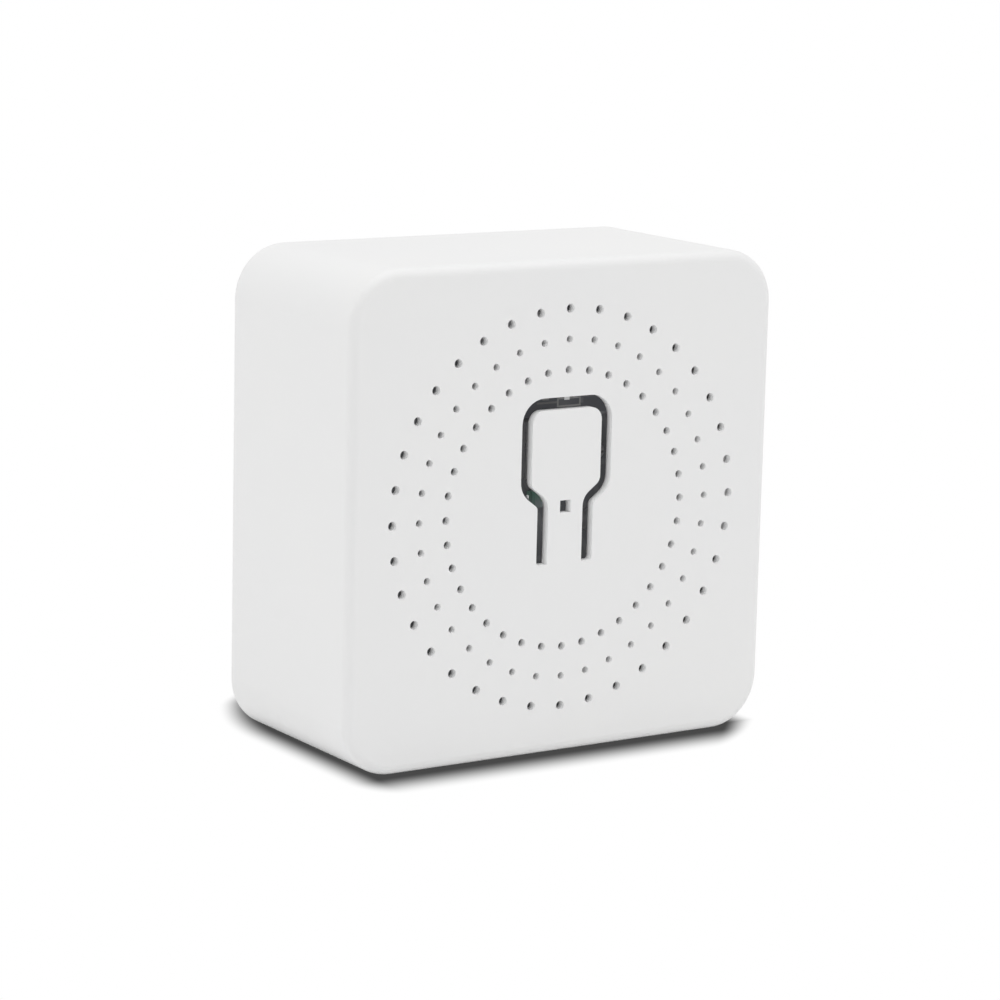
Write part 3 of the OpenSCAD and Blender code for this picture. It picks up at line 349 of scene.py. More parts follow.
def mouldedWhite(name, piece, look):
    finish = Finish(name, piece["colour"], piece["rough"], Specular_IOR_Level=look["specular"])
    cloud = finish.grain(look["cloudScale"], look["cloudDetail"])
    fine = finish.grain(1 / piece["grain"], look["grainDetail"], look["grainRough"])
    finish.feed("Roughness", fine * look["roughSwing"] + (piece["rough"] - look["roughSwing"] / 2))
    x, _, z = finish.axes()
    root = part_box("button_tongue")[0].z
    atRoot = (abs(x) < look["rootHalf"]) * (abs(z - root) < look["rootReach"])
    low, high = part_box("front_housing")
    inside = x.length(z - (low.z + high.z) / 2) < look["wallWithin"]
    wall = inside * (finish.facing() < look["wallFacing"])
    cool, warm = (tinted(piece["colour"], look[tone]) for tone in ("cool", "warm"))
    # the paler colour on the walls is painted light
    finish.feed("Base Color", finish.blend(wall, finish.blend(cloud, cool, warm), look["wall"]))
    soft = finish.softEdges(look["softRadius"], look["softSamples"], wall * (1 - atRoot))
    finish.dent(fine, piece["depth"], look["dent"], soft)
    finish.wear(*piece["wornBy"])


for plasticName, plastic in whitePlastics.items():
    mouldedWhite(plasticName, plastic, whiteLook)

# filled plastics, with short fibres and paler flecks in them
filledLook = {"specular": 0.45, "fibreScale": 2600, "fibreRough": 0.6, "fibreStretch": (1, 0.3, 1),
              "fleckScale": 1900, "fleckEdge": 0.22, "fleckDepth": 0.4, "lift": 0.004, "roughSwing": 0.2,
              "dentDepth": 0.006 * mm, "dent": 0.5}
filledPlastics = {"terminalNylon": {"colour": (0.035, 0.036, 0.038), "rough": 0.45, "speck": 0.35,
                                    "wornBy": "terminal_block"},
                  "switchNylon": {"colour": (0.14, 0.14, 0.145), "rough": 0.5, "speck": 0.35,
                                  "wornBy": "switch_base"},
                  "plungerNylon": {"colour": (0.11, 0.11, 0.112), "rough": 0.42, "speck": 0.15,
                                   "wornBy": "switch_plunger"},
                  "relayPhenolic": {"colour": (0.09, 0.09, 0.092), "rough": 0.5, "speck": 0.2,
                                    "wornBy": "relay_base"},
                  "relayShell": {"colour": (0.02, 0.03, 0.11), "rough": 0.28, "speck": 0.2,
                                 "wornBy": "relay_cover"},
                  "bobbinNylon": {"colour": (0.74, 0.70, 0.60), "rough": 0.4, "speck": 0.03,
                                  "wornBy": "relay_bobbin"},
                  "chokeSleeve": {"colour": (0.02, 0.02, 0.021), "rough": 0.4, "speck": 0.35,
                                  "wornBy": "choke"}}


def mouldedFilled(name, piece, look):
    finish = Finish(name, piece["colour"], piece["rough"], Specular_IOR_Level=look["specular"])
    fibres = finish.grain(look["fibreScale"], rough=look["fibreRough"], stretch=look["fibreStretch"])
    flecks = finish.cells(look["fleckScale"]).ease(0, look["fleckEdge"])
    paler = tuple(c * (1 + piece["speck"]) + look["lift"] for c in piece["colour"])
    shown = fibres * (1 - flecks * look["fleckDepth"])
    finish.feed("Base Color", finish.blend(shown, piece["colour"], paler))
    finish.feed("Roughness", fibres * look["roughSwing"] + (piece["rough"] - look["roughSwing"] / 2))
    finish.dent(fibres, look["dentDepth"], look["dent"])
    finish.wear(piece["wornBy"])


for plasticName, plastic in filledPlastics.items():
    mouldedFilled(plasticName, plastic, filledLook)
print("plastics done")

# plated or bare metal, with drawn streaks and duller patches
metalLook = {"streakScale": 3000, "streakRough": 0.6, "streakSwing": 0.18, "patchScale": 420,
             "patchDetail": 4, "patchRough": 0.55, "patchFrom": 0.35, "patchTo": 0.7, "patchSwing": 0.1,
             "tarnish": 0.12, "dentDepth": 0.003 * mm, "dent": 0.5}
poles = range(1, 6)
metals = {"brightSolder": {"colour": (0.6, 0.6, 0.62), "rough": 0.36, "brush": (1, 1, 1),
                           "wornBy": ["solder_joints"]},
          "stampedSteel": {"colour": (0.64, 0.64, 0.65), "rough": 0.3, "brush": (0.15, 1, 1),
                           "wornBy": ["switch_frame", "switch_legs"]},
          "tinnedShield": {"colour": (0.70, 0.70, 0.71), "rough": 0.34, "brush": (1, 1, 0.12),
                           "wornBy": ["radio_shield"]},
          "tinnedBrass": {"colour": (0.74, 0.58, 0.28), "rough": 0.3, "brush": (1, 1, 0.1),
                          "wornBy": ["terminal_rails"]},
          "zincScrew": {"colour": (0.68, 0.68, 0.67), "rough": 0.3, "brush": (1, 0.15, 1),
                        "wornBy": [f"terminal_screw_{i}" for i in poles]},
          "nickelCage": {"colour": (0.70, 0.69, 0.67), "rough": 0.26, "brush": (1, 0.15, 1),
                         "wornBy": [f"clamp_cage_{i}" for i in poles]},
          "softIron": {"colour": (0.56, 0.56, 0.57), "rough": 0.36, "brush": (0.12, 1, 1),
                       "wornBy": ["relay_core", "relay_yoke", "relay_armature"]},
          "contactAlloy": {"colour": (0.78, 0.46, 0.28), "rough": 0.27, "brush": (0.12, 1, 1),
                           "wornBy": ["relay_spring", "relay_fixed_contact"]},
          "tinnedPin": {"colour": (0.72, 0.72, 0.73), "rough": 0.3, "brush": (1, 0.15, 1),
                        "wornBy": ["relay_coil_pins"]}}


def platedMetal(name, piece, look):
    finish = Finish(name, piece["colour"], piece["rough"], Metallic=1.0)
    streaks = finish.grain(look["streakScale"], rough=look["streakRough"], stretch=piece["brush"])
    patch = finish.grain(look["patchScale"], look["patchDetail"], look["patchRough"])
    dull = tinted(piece["colour"], (1 - look["tarnish"],) * 3)
    bright = patch.ease(look["patchFrom"], look["patchTo"])
    finish.feed("Base Color", finish.blend(bright, dull, piece["colour"]))
    base = piece["rough"] - (look["streakSwing"] + look["patchSwing"]) / 2
    finish.feed("Roughness", streaks * look["streakSwing"] + patch * look["patchSwing"] + base)
    finish.dent(streaks, look["dentDepth"], look["dent"])
    return finish


for metalName, metal in metals.items():
    platedMetal(metalName, metal, metalLook).wear(*metal["wornBy"])
print("metals done")


# mask that is 1 inside a rectangle drawn in two axes
def patchMask(a, b, middle, size):
    return (abs(a - middle[0]) < size[0] / 2) * (abs(b - middle[1]) < size[1] / 2)


def outlineMask(a, b, middle, size, line):
    outer = patchMask(a, b, middle, (size[0] + line, size[1] + line))
    return outer * (1 - patchMask(a, b, middle, (size[0] - line, size[1] - line)))


# mask of a board's cut edge, between its two skins
def edgeMask(y, low, high, skin):
    return abs(y - (low.y + high.y) / 2) < (high.y - low.y) / 2 - skin


boardLook = {"mask": (0.06, 0.062, 0.066), "copper": (0.076, 0.078, 0.082), "laminate": (0.34, 0.33, 0.2),
             "rough": 0.26, "edgeRough": 0.4, "roughScale": 900, "roughSwing": 0.1, "coat": 0.25,
             "coatRough": 0.15, "skin": 0.03 * mm, "dentDepth": 0.02 * mm, "dent": 0.7,
             "traceWidth": 0.42 * mm, "alongStep": 1.7 * mm, "alongSlant": 0.5, "alongBend": 2.2 * mm,
             "crossStep": 2.21 * mm, "crossSlant": 0.15, "crossBend": 1.4 * mm, "bendScale": 130,
             "bendDetail": 1, "fieldScale": 260, "fieldFrom": 0.35, "fieldTo": 0.38,
             "print": (0.72, 0.73, 0.7), "printGap": 0.5 * mm, "printLine": 0.16 * mm,
             "printed": ("relay_base", "bridge_rectifier", "supply_chip", "regulator"),
             "paintedGapLight": (0.038, 0.038, 0.041)}


# solder mask with traces under it, printed part outlines, a bare laminate edge,
# and a faint glow in the gap between the radio board and the switch: painted light lifting the shade there
def maskedBoard(look):
    finish = Finish("boardMask", look["mask"], look["rough"], Coat_Weight=look["coat"],
                    Coat_Roughness=look["coatRough"])
    x, y, z = finish.axes()
    lowEdge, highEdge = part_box("main_board")
    bend = finish.grain(look["bendScale"], look["bendDetail"])
    half = look["traceWidth"] / 2
    along = (x + z * look["alongSlant"] + bend * look["alongBend"]).wrap(look["alongStep"]) < half
    cross = (z - x * look["crossSlant"] + bend * look["crossBend"]).wrap(look["crossStep"]) < half
    pick = finish.cells(look["fieldScale"]).ease(look["fieldFrom"], look["fieldTo"])
    traces = along * pick + cross * (1 - pick)
    colour = finish.blend(traces, look["mask"], look["copper"])
    marks = None
    for part in look["printed"]:
        low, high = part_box(part)
        middle = ((low.x + high.x) / 2, (low.z + high.z) / 2)
        size = (high.x - low.x + look["printGap"], high.z - low.z + look["printGap"])
        ring = outlineMask(x, z, middle, size, look["printLine"])
        marks = ring if marks is None else marks.largest(ring)
    behind = y > (lowEdge.y + highEdge.y) / 2
    colour = finish.blend(marks * behind, colour, look["print"])
    rim = edgeMask(y, lowEdge, highEdge, look["skin"])
    finish.feed("Base Color", finish.blend(rim, colour, look["laminate"]))
    radioLow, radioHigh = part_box("radio_board")
    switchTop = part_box("switch_base")[1].z
    gapMiddle = ((radioLow.x + radioHigh.x) / 2, (radioLow.z + switchTop) / 2)
    gapSize = (radioHigh.x - radioLow.x, 2 * (radioLow.z - switchTop))
    gap = patchMask(x, z, gapMiddle, gapSize) * (1 - behind)
    # painted light: a faint glow over the shade in the gap
    finish.shine(finish.blend(gap, (0, 0, 0), look["paintedGapLight"]))
    swing = finish.grain(look["roughScale"]) * look["roughSwing"]
    finish.feed("Roughness", look["rough"] + rim * look["edgeRough"] + swing)
    finish.dent(traces * (1 - rim), look["dentDepth"], look["dent"])
    finish.wear("main_board")


radioLook = {"mask": (0.058, 0.06, 0.066), "trace": (0.084, 0.086, 0.092), "laminate": (0.1, 0.095, 0.06),
             "rough": 0.28, "edgeRough": 0.35, "roughScale": 900, "roughSwing": 0.1, "coat": 0.2,
             "coatRough": 0.2, "skin": 0.03 * mm, "dentDepth": 0.015 * mm, "dent": 0.6,
             "aerialInset": 3.2 * mm, "aerialWide": 4.6 * mm, "aerialMargin": 1.6 * mm,
             "runStep": 0.9 * mm, "runHalf": 0.16 * mm, "runOut": 2.0 * mm,
             "print": (0.16, 0.16, 0.156), "boxMiddle": (2.24 * mm, 27.46 * mm),
             "boxSize": (2.1 * mm, 0.62 * mm), "boxLine": 0.14 * mm,
             "marks": [{"middle": (2.05 * mm, 27.8 * mm), "size": (0.5 * mm, 0.34 * mm), "tone": 0.56},
                       {"middle": (2.84 * mm, 27.84 * mm), "size": (0.42 * mm, 0.26 * mm), "tone": 0.19},
                       {"middle": (0.03 * mm, 27.84 * mm), "size": (0.6 * mm, 0.24 * mm), "tone": 0.16},
                       {"middle": (0.15 * mm, 27.5 * mm), "size": (1.9 * mm, 0.15 * mm), "tone": 0.105}]}


# black solder mask with a meander aerial, one printed part outline, a few pads and a trace
def radioBoard(look):
    finish = Finish("radioMask", look["mask"], look["rough"], Coat_Weight=look["coat"],
                    Coat_Roughness=look["coatRough"])
    x, y, z = finish.axes()
    low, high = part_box("radio_board")
    aerialMiddle = (high.x - look["aerialInset"], (low.z + high.z) / 2)
    aerialSize = (look["aerialWide"], high.z - low.z - look["aerialMargin"])
    field = patchMask(x, z, aerialMiddle, aerialSize)
    across = z.wrap(look["runStep"]) < look["runHalf"]
    ends = abs(abs(x - aerialMiddle[0]) - look["runOut"]) < look["runHalf"]
    aerial = field * across.largest(ends)
    colour = finish.blend(aerial, look["mask"], look["trace"])
    front = y < low.y + look["skin"]
    raised = outlineMask(x, z, look["boxMiddle"], look["boxSize"], look["boxLine"]) * front
    colour = finish.blend(raised, colour, look["print"])
    for mark in look["marks"]:
        shown = patchMask(x, z, mark["middle"], mark["size"]) * front
        colour = finish.blend(shown, colour, (mark["tone"],) * 3)
        raised = raised.largest(shown)
    rim = edgeMask(y, low, high, look["skin"])
    finish.feed("Base Color", finish.blend(rim, colour, look["laminate"]))
    swing = finish.grain(look["roughScale"]) * look["roughSwing"]
    finish.feed("Roughness", look["rough"] + rim * look["edgeRough"] + swing)
    finish.dent(raised + aerial, look["dentDepth"], look["dent"])
    finish.wear("radio_board")


maskedBoard(boardLook)
radioBoard(radioLook)
print("boards done")

tin = (0.72, 0.72, 0.73)
chipLook = {"pale": (0.05, 0.05, 0.052), "dark": (0.024, 0.024, 0.026), "rough": 0.58, "roughScale": 1500,
            "roughSwing": 0.1, "legLength": 0.82 * mm, "legShine": 0.28, "speckScale": 2200,
            "speckFrom": 0.05, "speckTo": 0.3, "dentScale": 4200, "dentDepth": 0.006 * mm, "dent": 0.5}
radioChipLook = {**chipLook, "pale": (0.055, 0.055, 0.058), "dark": (0.028, 0.028, 0.03), "rough": 0.5,
                 "legLength": 0}


# moulded chip whose legs, past the body's ends, are tinned
def epoxyChip(name, part, look):
    finish = Finish(name, look["dark"], look["rough"])
    speck = finish.cells(look["speckScale"]).ease(look["speckFrom"], look["speckTo"])
    colour = finish.blend(speck, look["pale"], look["dark"])
    if look["legLength"]:
        z = finish.axes()[2]
        low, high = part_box(part)
        legs = abs(z - (low.z + high.z) / 2) > (high.z - low.z) / 2 - look["legLength"]
        colour = finish.blend(legs, colour, tin)
        finish.feed("Metallic", legs)
        swing = finish.grain(look["roughScale"]) * look["roughSwing"]
        finish.feed("Roughness", look["rough"] - legs * look["legShine"] + swing)
    finish.feed("Base Color", colour)
    finish.dent(finish.grain(look["dentScale"]), look["dentDepth"], look["dent"])
    finish.wear(part)


for chip in ("bridge_rectifier", "supply_chip", "regulator"):
    epoxyChip(chip + "Epoxy", chip, chipLook)
epoxyChip("radioEpoxy", "radio_chip", radioChipLook)

ceramicLook = {"deep": (0.24, 0.16, 0.09), "pale": (0.36, 0.26, 0.17), "toneScale": 700, "toneDetail": 2,
               "rough": 0.45, "tinShine": 0.15, "firstColumn": 9.74 * mm, "secondColumn": 7.375 * mm,
               "columnHalf": 0.28 * mm, "rowInset": 0.9 * mm, "rowHalf": 0.52 * mm,
               "dentDepth": 0.01 * mm, "dent": 0.3}


# ceramic chip parts: brown bodies, tinned ends along x in front and along z behind
def ceramicParts(look):
    finish = Finish("chipCeramic", look["pale"], look["rough"])
    x, y, z = finish.axes()
    low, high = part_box("chip_parts")
    behind = y > (low.y + high.y) / 2
    column = abs(x - (low.x + look["firstColumn"])).smallest(abs(x - look["secondColumn"]))
    ends = (1 - behind) * (column > look["columnHalf"])
    rows = abs(z - (high.z - look["rowInset"])) > look["rowHalf"]
    tinned = ends.largest(behind * rows)
    tone = finish.grain(look["toneScale"], look["toneDetail"])
    body = finish.blend(tone, look["deep"], look["pale"])
    finish.feed("Base Color", finish.blend(tinned, body, tin))
    finish.feed("Metallic", tinned)
    finish.feed("Roughness", look["rough"] - tinned * look["tinShine"])
    finish.dent(tone, look["dentDepth"], look["dent"])
    finish.wear("chip_parts")


ceramicParts(ceramicLook)

# painted glint: a round spot of painted highlight where the lamp's end meets its solder
paintedLampGlint = {"tone": (0.36, 0.36, 0.36), "out": -0.03 * mm, "up": 0.18 * mm, "core": 0.06 * mm,
             "edge": 0.15 * mm}


def paintedGlintMask(x, z, look):
    low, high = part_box("status_lamp")
    out = abs(x) - (high.x + look["out"])
    up = z - ((low.z + high.z) / 2 + look["up"])
    return 1 - out.length(up).ease(look["core"], look["edge"])


lampLook = {"green": (0.06, 0.1, 0.082), "grey": (0.092, 0.11, 0.11), "greyBelow": -0.35 * mm,
            "greenAbove": 0.4 * mm, "die": (0.06, 0.098, 0.07), "dieSize": (0.3 * mm, 0.3 * mm),
            "base": (0.055, 0.085, 0.07), "baseDepth": 0.3 * mm, "end": (0.82, 0.82, 0.8),
            "endLength": 0.28 * mm, "endHalf": 0.33 * mm, "endMetal": 0.2, "sideFacing": 0.5,
            "sideLight": (0.02, 0.038, 0.031), "rough": 0.16, "baseRough": 0.2, "roughScale": 2500,
            "roughSwing": 0.06, "coat": 0.4, "coatRough": 0.1}


# lamp: a base with tinned ends under a green lens block that is greyer below
def lampResin(look):
    finish = Finish("lampResin", look["green"], look["rough"], Coat_Weight=look["coat"],
                    Coat_Roughness=look["coatRough"])
    x, y, z = finish.axes()
    low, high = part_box("status_lamp")
    base = y > high.y - look["baseDepth"]
    middle = (low.z + high.z) / 2
    die = patchMask(x, z, ((low.x + high.x) / 2, middle), look["dieSize"])
    rise = (z - middle).ease(look["greyBelow"], look["greenAbove"])
    lens = finish.blend(die, finish.blend(rise, look["grey"], look["green"]), look["die"])
    ends = base * (abs(x) > high.x - look["endLength"]) * (abs(z - middle) < look["endHalf"])
    colour = finish.blend(base, lens, look["base"])
    finish.feed("Base Color", finish.blend(ends, colour, look["end"]))
    # the lens sides and the base give off a faint glow: painted light lifting their shade
    aside = (finish.facing() < look["sideFacing"]).largest(base)
    paintedSideLight = finish.blend(aside, (0, 0, 0), look["sideLight"])
    paintedGlint = base * paintedGlintMask(x, z, paintedLampGlint)
    finish.shine(finish.blend(paintedGlint, paintedSideLight, paintedLampGlint["tone"]))
    finish.feed("Metallic", ends * look["endMetal"])
    swing = finish.grain(look["roughScale"]) * look["roughSwing"]
    finish.feed("Roughness", look["rough"] + base * look["baseRough"] + swing)
    finish.wear("status_lamp")


lampResin(lampLook)

canLook = {"rough": 0.3, "roughScale": 1200, "roughSwing": 0.12, "coat": 0.3, "coatRough": 0.15,
           "lidShare": 0.8, "lidDepth": 0.4 * mm, "stripeShare": 0.42, "ventShare": 0.6,
           "ventHalf": 0.09 * mm, "metal": (0.62, 0.62, 0.63), "vent": (0.3, 0.3, 0.3),
           "dentScale": 1500, "dentDetail": 2, "dentShare": 0.1, "dentDepth": 0.05 * mm, "dent": 0.6}
sleeves = {"bulkSleeve": {"wornBy": "bulk_capacitor", "sleeve": (0.022, 0.024, 0.028),
                          "stripe": (0.42, 0.42, 0.43)},
           "outputSleeve": {"wornBy": "output_capacitor", "sleeve": (0.02, 0.045, 0.03),
                            "stripe": (0.46, 0.47, 0.44)}}


# sleeved can: printed stripe down one side, bare vented top
def sleevedCan(name, piece, look):
    finish = Finish(name, piece["sleeve"], look["rough"], Coat_Weight=look["coat"],
                    Coat_Roughness=look["coatRough"])
    x, y, z = finish.axes()
    low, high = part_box(piece["wornBy"])
    radius = (high.x - low.x) / 2
    aside = x - (low.x + high.x) / 2
    up = z - (low.z + high.z) / 2
    out = aside.length(up)
    lid = (out < radius * look["lidShare"]) * (y > high.y - look["lidDepth"])
    side = (abs(up) < radius * look["stripeShare"]) * (aside < 0)
    lines = (abs(aside) < look["ventHalf"]).largest(abs(up) < look["ventHalf"])
    cross = lines * (out < radius * look["ventShare"])
    colour = finish.blend(side, piece["sleeve"], piece["stripe"])
    # the vent cross is painted darker than the bare lid: painted shade in its scored grooves
    metal = finish.blend(cross, look["metal"], look["vent"])
    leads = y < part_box("main_board")[1].y
    bare = lid.largest(leads)
    finish.feed("Base Color", finish.blend(bare, colour, metal))
    finish.feed("Metallic", bare)
    finish.feed("Roughness", look["rough"] + finish.grain(look["roughScale"]) * look["roughSwing"])
    fine = finish.grain(look["dentScale"], look["dentDetail"])
    finish.dent(lid * cross * -1 + fine * look["dentShare"], look["dentDepth"], look["dent"])
    finish.wear(piece["wornBy"])


for sleeveName, sleeved in sleeves.items():
    sleevedCan(sleeveName, sleeved, canLook)

dippedLook = {"coat": 0.2, "coatRough": 0.2, "toneScale": 500, "deep": (0.8, 0.8, 0.8), "roughSwing": 0.1,
              "leadRise": 0.4 * mm, "leadGap": 0.03 * mm, "dentDepth": 0.03 * mm, "dent": 0.4}
dippedParts = {"varistorEnamel": {"wornBy": "varistor", "colour": (0.035, 0.11, 0.38), "rough": 0.35,
                                  "bands": [], "bandWidth": 0, "fold": 0},
               "resistorPaint": {"wornBy": "fusible_resistor", "colour": (0.14, 0.24, 0.12), "rough": 0.4,
                                 "bands": [(-1.6 * mm, (0.5, 0.1, 0.02)), (0.0, (0.02, 0.02, 0.02)),
                                           (1.6 * mm, (0.03, 0.03, 0.03)), (3.4 * mm, (0.55, 0.42, 0.16))],
                                 "bandWidth": 0.7 * mm, "fold": 1.05 * mm}}


# dipped or painted part; its leads, near the board and beside or over the body, are tinned
def dippedPart(name, piece, look):
    finish = Finish(name, piece["colour"], piece["rough"], Coat_Weight=look["coat"],
                    Coat_Roughness=look["coatRough"])
    x, y, _ = finish.axes()
    low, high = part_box(piece["wornBy"])
    tone = finish.grain(look["toneScale"])
    paint = finish.blend(tone, tinted(piece["colour"], look["deep"]), piece["colour"])
    for at, ink in piece["bands"]:
        paint = finish.blend(abs(y - at) < piece["bandWidth"] / 2, paint, ink)
    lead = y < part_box("main_board")[1].y + look["leadRise"]
    if piece["fold"]:
        beside = x > low.x + (high.z - low.z) + look["leadGap"]
        lead = lead.largest(y > high.y - piece["fold"]).largest(beside)
    finish.feed("Base Color", finish.blend(lead, paint, tin))
    finish.feed("Metallic", lead)
    finish.feed("Roughness", piece["rough"] - look["roughSwing"] / 2 + tone * look["roughSwing"])
    finish.dent(tone, look["dentDepth"], look["dent"])
    finish.wear(piece["wornBy"])


for dippedName, dipped in dippedParts.items():
    dippedPart(dippedName, dipped, dippedLook)
print("parts painted")


# geometry tree with a named input for each size, given as its socket type and value
def startTree(name, sizes):
    tree = bpy.data.node_groups.new(name, "GeometryNodeTree")
    tree.interface.new_socket("Geometry", in_out="OUTPUT", socket_type="NodeSocketGeometry")
    for label, (kind, value) in sizes.items():
        socket = tree.interface.new_socket(label, in_out="INPUT", socket_type=kind)
        socket.default_value = value
    return tree, tree.nodes.new("NodeGroupInput")


def endTree(tree, socket, material):
    real = tree.nodes.new("GeometryNodeRealizeInstances")
    coat = tree.nodes.new("GeometryNodeSetMaterial")
    leave = tree.nodes.new("NodeGroupOutput")
    coat.inputs["Material"].default_value = material
    tree.links.new(socket, real.inputs[0])
    tree.links.new(real.outputs[0], coat.inputs[0])
    tree.links.new(coat.outputs[0], leave.inputs[0])


# runs a geometry tree once and keeps its plain mesh
def bakeTree(name, tree, body):
    piece = bpy.data.objects.new(name, bpy.data.meshes.new(name))
    scene.collection.objects.link(piece)
    modifier = piece.modifiers.new("tree", "NODES")
    modifier.node_group = tree
    for socket in tree.interface.items_tree:
        if socket.in_out == "INPUT":
            modifier[socket.identifier] = socket.default_value
    bpy.context.view_layer.update()
    baked = piece.evaluated_get(bpy.context.evaluated_depsgraph_get())
    solid = bpy.data.meshes.new_from_object(baked)
    piece.modifiers.remove(modifier)
    piece.data = solid
    solid.name = name
    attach(piece, body)


coilWire = {"turns": 38, "wire": 0.15 * mm, "turnSteps": 32, "wireSides": 8, "deep": (0.5, 0.19, 0.07),
            "bright": (0.68, 0.3, 0.13), "toneScale": 900, "rough": 0.2, "roughSwing": 0.15, "coat": 0.6,
            "coatRough": 0.12}


# enamelled wire wound on the bobbin, seen if the relay is opened
def windCoil(look):
    finish = Finish("windingCopper", look["bright"], look["rough"], Metallic=1.0,
                    Coat_Weight=look["coat"], Coat_Roughness=look["coatRough"])
    tone = finish.grain(look["toneScale"])
    finish.feed("Base Color", finish.blend(tone, look["deep"], look["bright"]))
    finish.feed("Roughness", tone * look["roughSwing"] + look["rough"])
    finish.wear("relay_winding")
    low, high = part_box("relay_winding")
    wire = look["wire"]
    sizes = {"Turns": ("NodeSocketFloat", float(look["turns"])),
             "Radius": ("NodeSocketFloat", (high.z - low.z) / 2 - wire),
             "Length": ("NodeSocketFloat", high.x - low.x - 2 * wire),
             "Wire": ("NodeSocketFloat", wire)}
    tree, entry = startTree("coilTurns", sizes)
    join = tree.links.new
    spiral = tree.nodes.new("GeometryNodeCurveSpiral")
    spiral.inputs["Resolution"].default_value = look["turnSteps"]
    join(entry.outputs["Turns"], spiral.inputs["Rotations"])
    join(entry.outputs["Radius"], spiral.inputs["Start Radius"])
    join(entry.outputs["Radius"], spiral.inputs["End Radius"])
    join(entry.outputs["Length"], spiral.inputs["Height"])
    section = tree.nodes.new("GeometryNodeCurvePrimitiveCircle")
    section.inputs["Resolution"].default_value = look["wireSides"]
    join(entry.outputs["Wire"], section.inputs["Radius"])
    sweep = tree.nodes.new("GeometryNodeCurveToMesh")
    sweep.inputs["Fill Caps"].default_value = True
    join(spiral.outputs[0], sweep.inputs["Curve"])
    join(section.outputs[0], sweep.inputs["Profile Curve"])
    stand = tree.nodes.new("GeometryNodeTransform")
    stand.inputs["Rotation"].default_value = (0, math.radians(90), 0)
    start = (low.x + wire, (low.y + high.y) / 2, (low.z + high.z) / 2)
    stand.inputs["Translation"].default_value = start
    join(sweep.outputs[0], stand.inputs[0])
    smooth = tree.nodes.new("GeometryNodeSetShadeSmooth")
    join(stand.outputs[0], smooth.inputs[0])
    endTree(tree, smooth.outputs[0], finish.material)
    bakeTree("coilTurns", tree, "case")


windCoil(coilWire)
print("coil wound")

radioPads = {"count": 4, "pitch": 1.5 * mm, "hole": 0.3 * mm, "pad": 0.5 * mm, "tall": 0.7 * mm,
             "skin": 0.03 * mm, "steps": 8,
             "metal": {"colour": (0.74, 0.73, 0.72), "rough": 0.3, "brush": (1, 1, 1)}}


# plate round one half hole, on the board's front face; side is 1 on the lower edge, -1 on the upper
def addPad(shape, look, face, edge, side):
    turns = [math.pi * i / look["steps"] for i in range(look["steps"] + 1)]
    inner = [(look["hole"] * math.cos(t), look["hole"] * math.sin(t)) for t in turns]
    outer = []
    for cx, cz in inner:
        reach = max(abs(cx) / look["pad"], cz / look["tall"])
        outer.append((cx / reach, cz / reach))
    levels = []
    for y in (face - look["skin"], face):
        for ring in (inner, outer):
            levels.append([shape.verts.new((x, y, edge + side * z)) for x, z in ring])
    frontIn, frontOut, backIn, backOut = levels
    for i in range(look["steps"]):
        shape.faces.new((frontIn[i], frontOut[i], frontOut[i + 1], frontIn[i + 1]))
        shape.faces.new((backIn[i + 1], backOut[i + 1], backOut[i], backIn[i]))
        shape.faces.new((frontOut[i], backOut[i], backOut[i + 1], frontOut[i + 1]))
        shape.faces.new((backIn[i], frontIn[i], frontIn[i + 1], backIn[i + 1]))
    for i in (0, look["steps"]):
        shape.faces.new((frontIn[i], backIn[i], backOut[i], frontOut[i]))


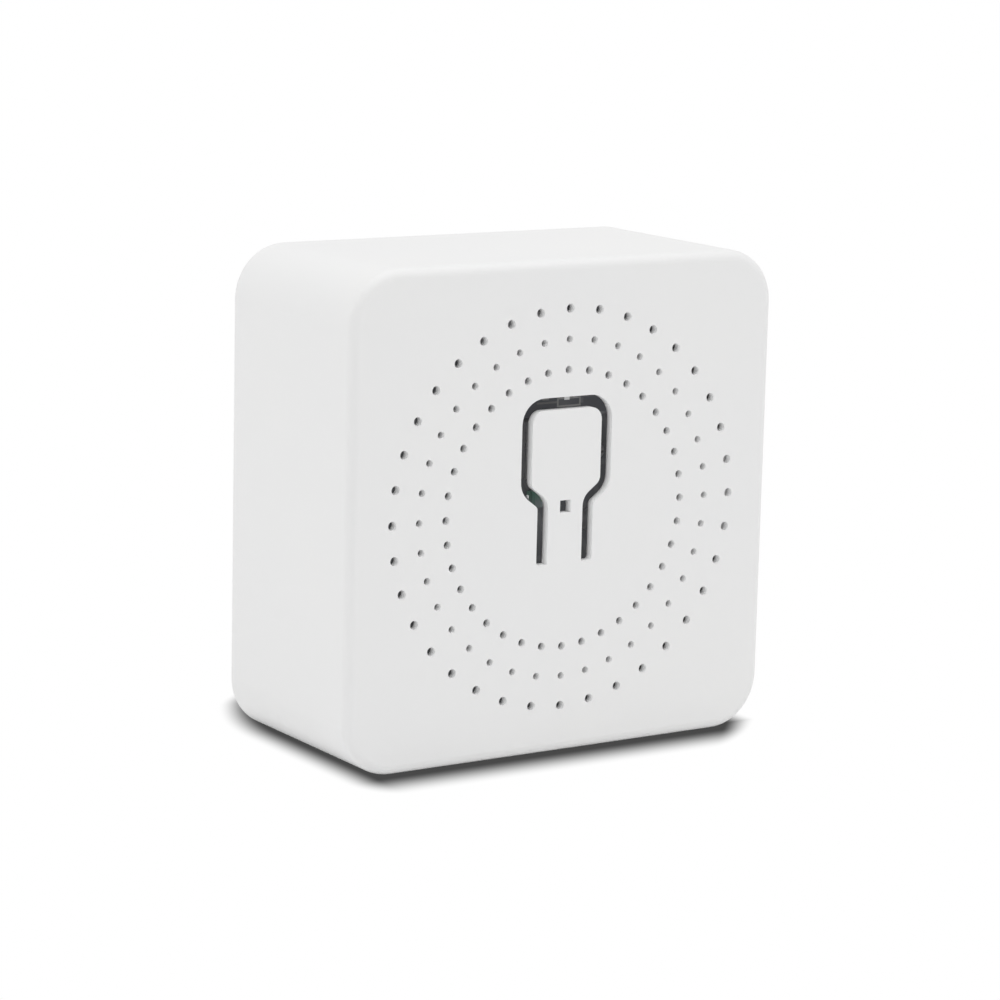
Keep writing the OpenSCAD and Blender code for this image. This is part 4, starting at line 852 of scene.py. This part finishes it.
# plated half holes on the radio board's long edges, away from the aerial
def plateRadio(look):
    finish = platedMetal("padTin", look["metal"], metalLook)
    low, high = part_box("radio_board")
    shape = bmesh.new()
    addPad(shape, look, low.y, low.z, 1)
    addPad(shape, look, low.y, high.z, -1)
    bmesh.ops.recalc_face_normals(shape, faces=shape.faces)
    padMesh = bpy.data.meshes.new("padShape")
    shape.to_mesh(padMesh)
    shape.free()
    padMesh.materials.append(finish.material)
    padObject = bpy.data.objects.new("padShape", padMesh)
    sizes = {"Count": ("NodeSocketInt", look["count"]), "Pitch": ("NodeSocketFloat", look["pitch"])}
    tree, entry = startTree("radioPads", sizes)
    join = tree.links.new
    row = tree.nodes.new("GeometryNodeMeshLine")
    step = tree.nodes.new("ShaderNodeCombineXYZ")
    join(entry.outputs["Pitch"], step.inputs["X"])
    join(entry.outputs["Count"], row.inputs["Count"])
    join(step.outputs[0], row.inputs["Offset"])
    row.inputs["Start Location"].default_value = (low.x + look["pitch"], 0, 0)
    source = tree.nodes.new("GeometryNodeObjectInfo")
    source.inputs["Object"].default_value = padObject
    spread = tree.nodes.new("GeometryNodeInstanceOnPoints")
    join(row.outputs[0], spread.inputs["Points"])
    join(source.outputs["Geometry"], spread.inputs["Instance"])
    endTree(tree, spread.outputs[0], finish.material)
    bakeTree("radioPads", tree, "case")
    bpy.data.objects.remove(padObject)


plateRadio(radioPads)
print("radio pads plated")

lampJoint = {"reach": 0.3 * mm, "height": 0.24 * mm, "half": 0.27 * mm, "taper": 0.35, "crown": 0.03 * mm,
             "steps": 6, "weld": 0.0001 * mm,
             "metal": {"colour": (0.6, 0.6, 0.62), "rough": 0.36, "brush": (1, 1, 1)}}


# two small solder fillets beside the lamp
def solderLamp(look):
    low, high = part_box("status_lamp")
    middle = (low.z + high.z) / 2
    shape = bmesh.new()
    for side in (-1, 1):
        rows = []
        for i in range(look["steps"] + 1):
            t = i / look["steps"]
            x = side * (high.x + look["reach"] * t)
            y = high.y - look["height"] * (1 - t) ** 2
            half = look["half"] * (1 - look["taper"] * t * t)
            crown = y - look["crown"] * (1 - t)
            section = [(y, -half), (crown, 0), (y, half), (high.y, half), (high.y, -half)]
            rows.append([shape.verts.new((x, depth, middle + up)) for depth, up in section])
        for a, b in zip(rows, rows[1:]):
            for k in range(len(a)):
                after = (k + 1) % len(a)
                shape.faces.new((a[k], a[after], b[after], b[k]))
        shape.faces.new(rows[0])
        shape.faces.new(rows[-1])
    bmesh.ops.remove_doubles(shape, verts=shape.verts, dist=look["weld"])
    bmesh.ops.recalc_face_normals(shape, faces=shape.faces)
    mesh = bpy.data.meshes.new("lampSolder")
    shape.to_mesh(mesh)
    shape.free()
    finish = platedMetal("lampTin", look["metal"], metalLook)
    x, _, z = finish.axes()
    # the same painted glint, a painted highlight, on the solder
    finish.shine(finish.blend(paintedGlintMask(x, z, paintedLampGlint), (0, 0, 0), paintedLampGlint["tone"]))
    mesh.materials.append(finish.material)
    piece = bpy.data.objects.new("lampSolder", mesh)
    scene.collection.objects.link(piece)
    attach(piece, "case")


solderLamp(lampJoint)
print("lamp soldered")
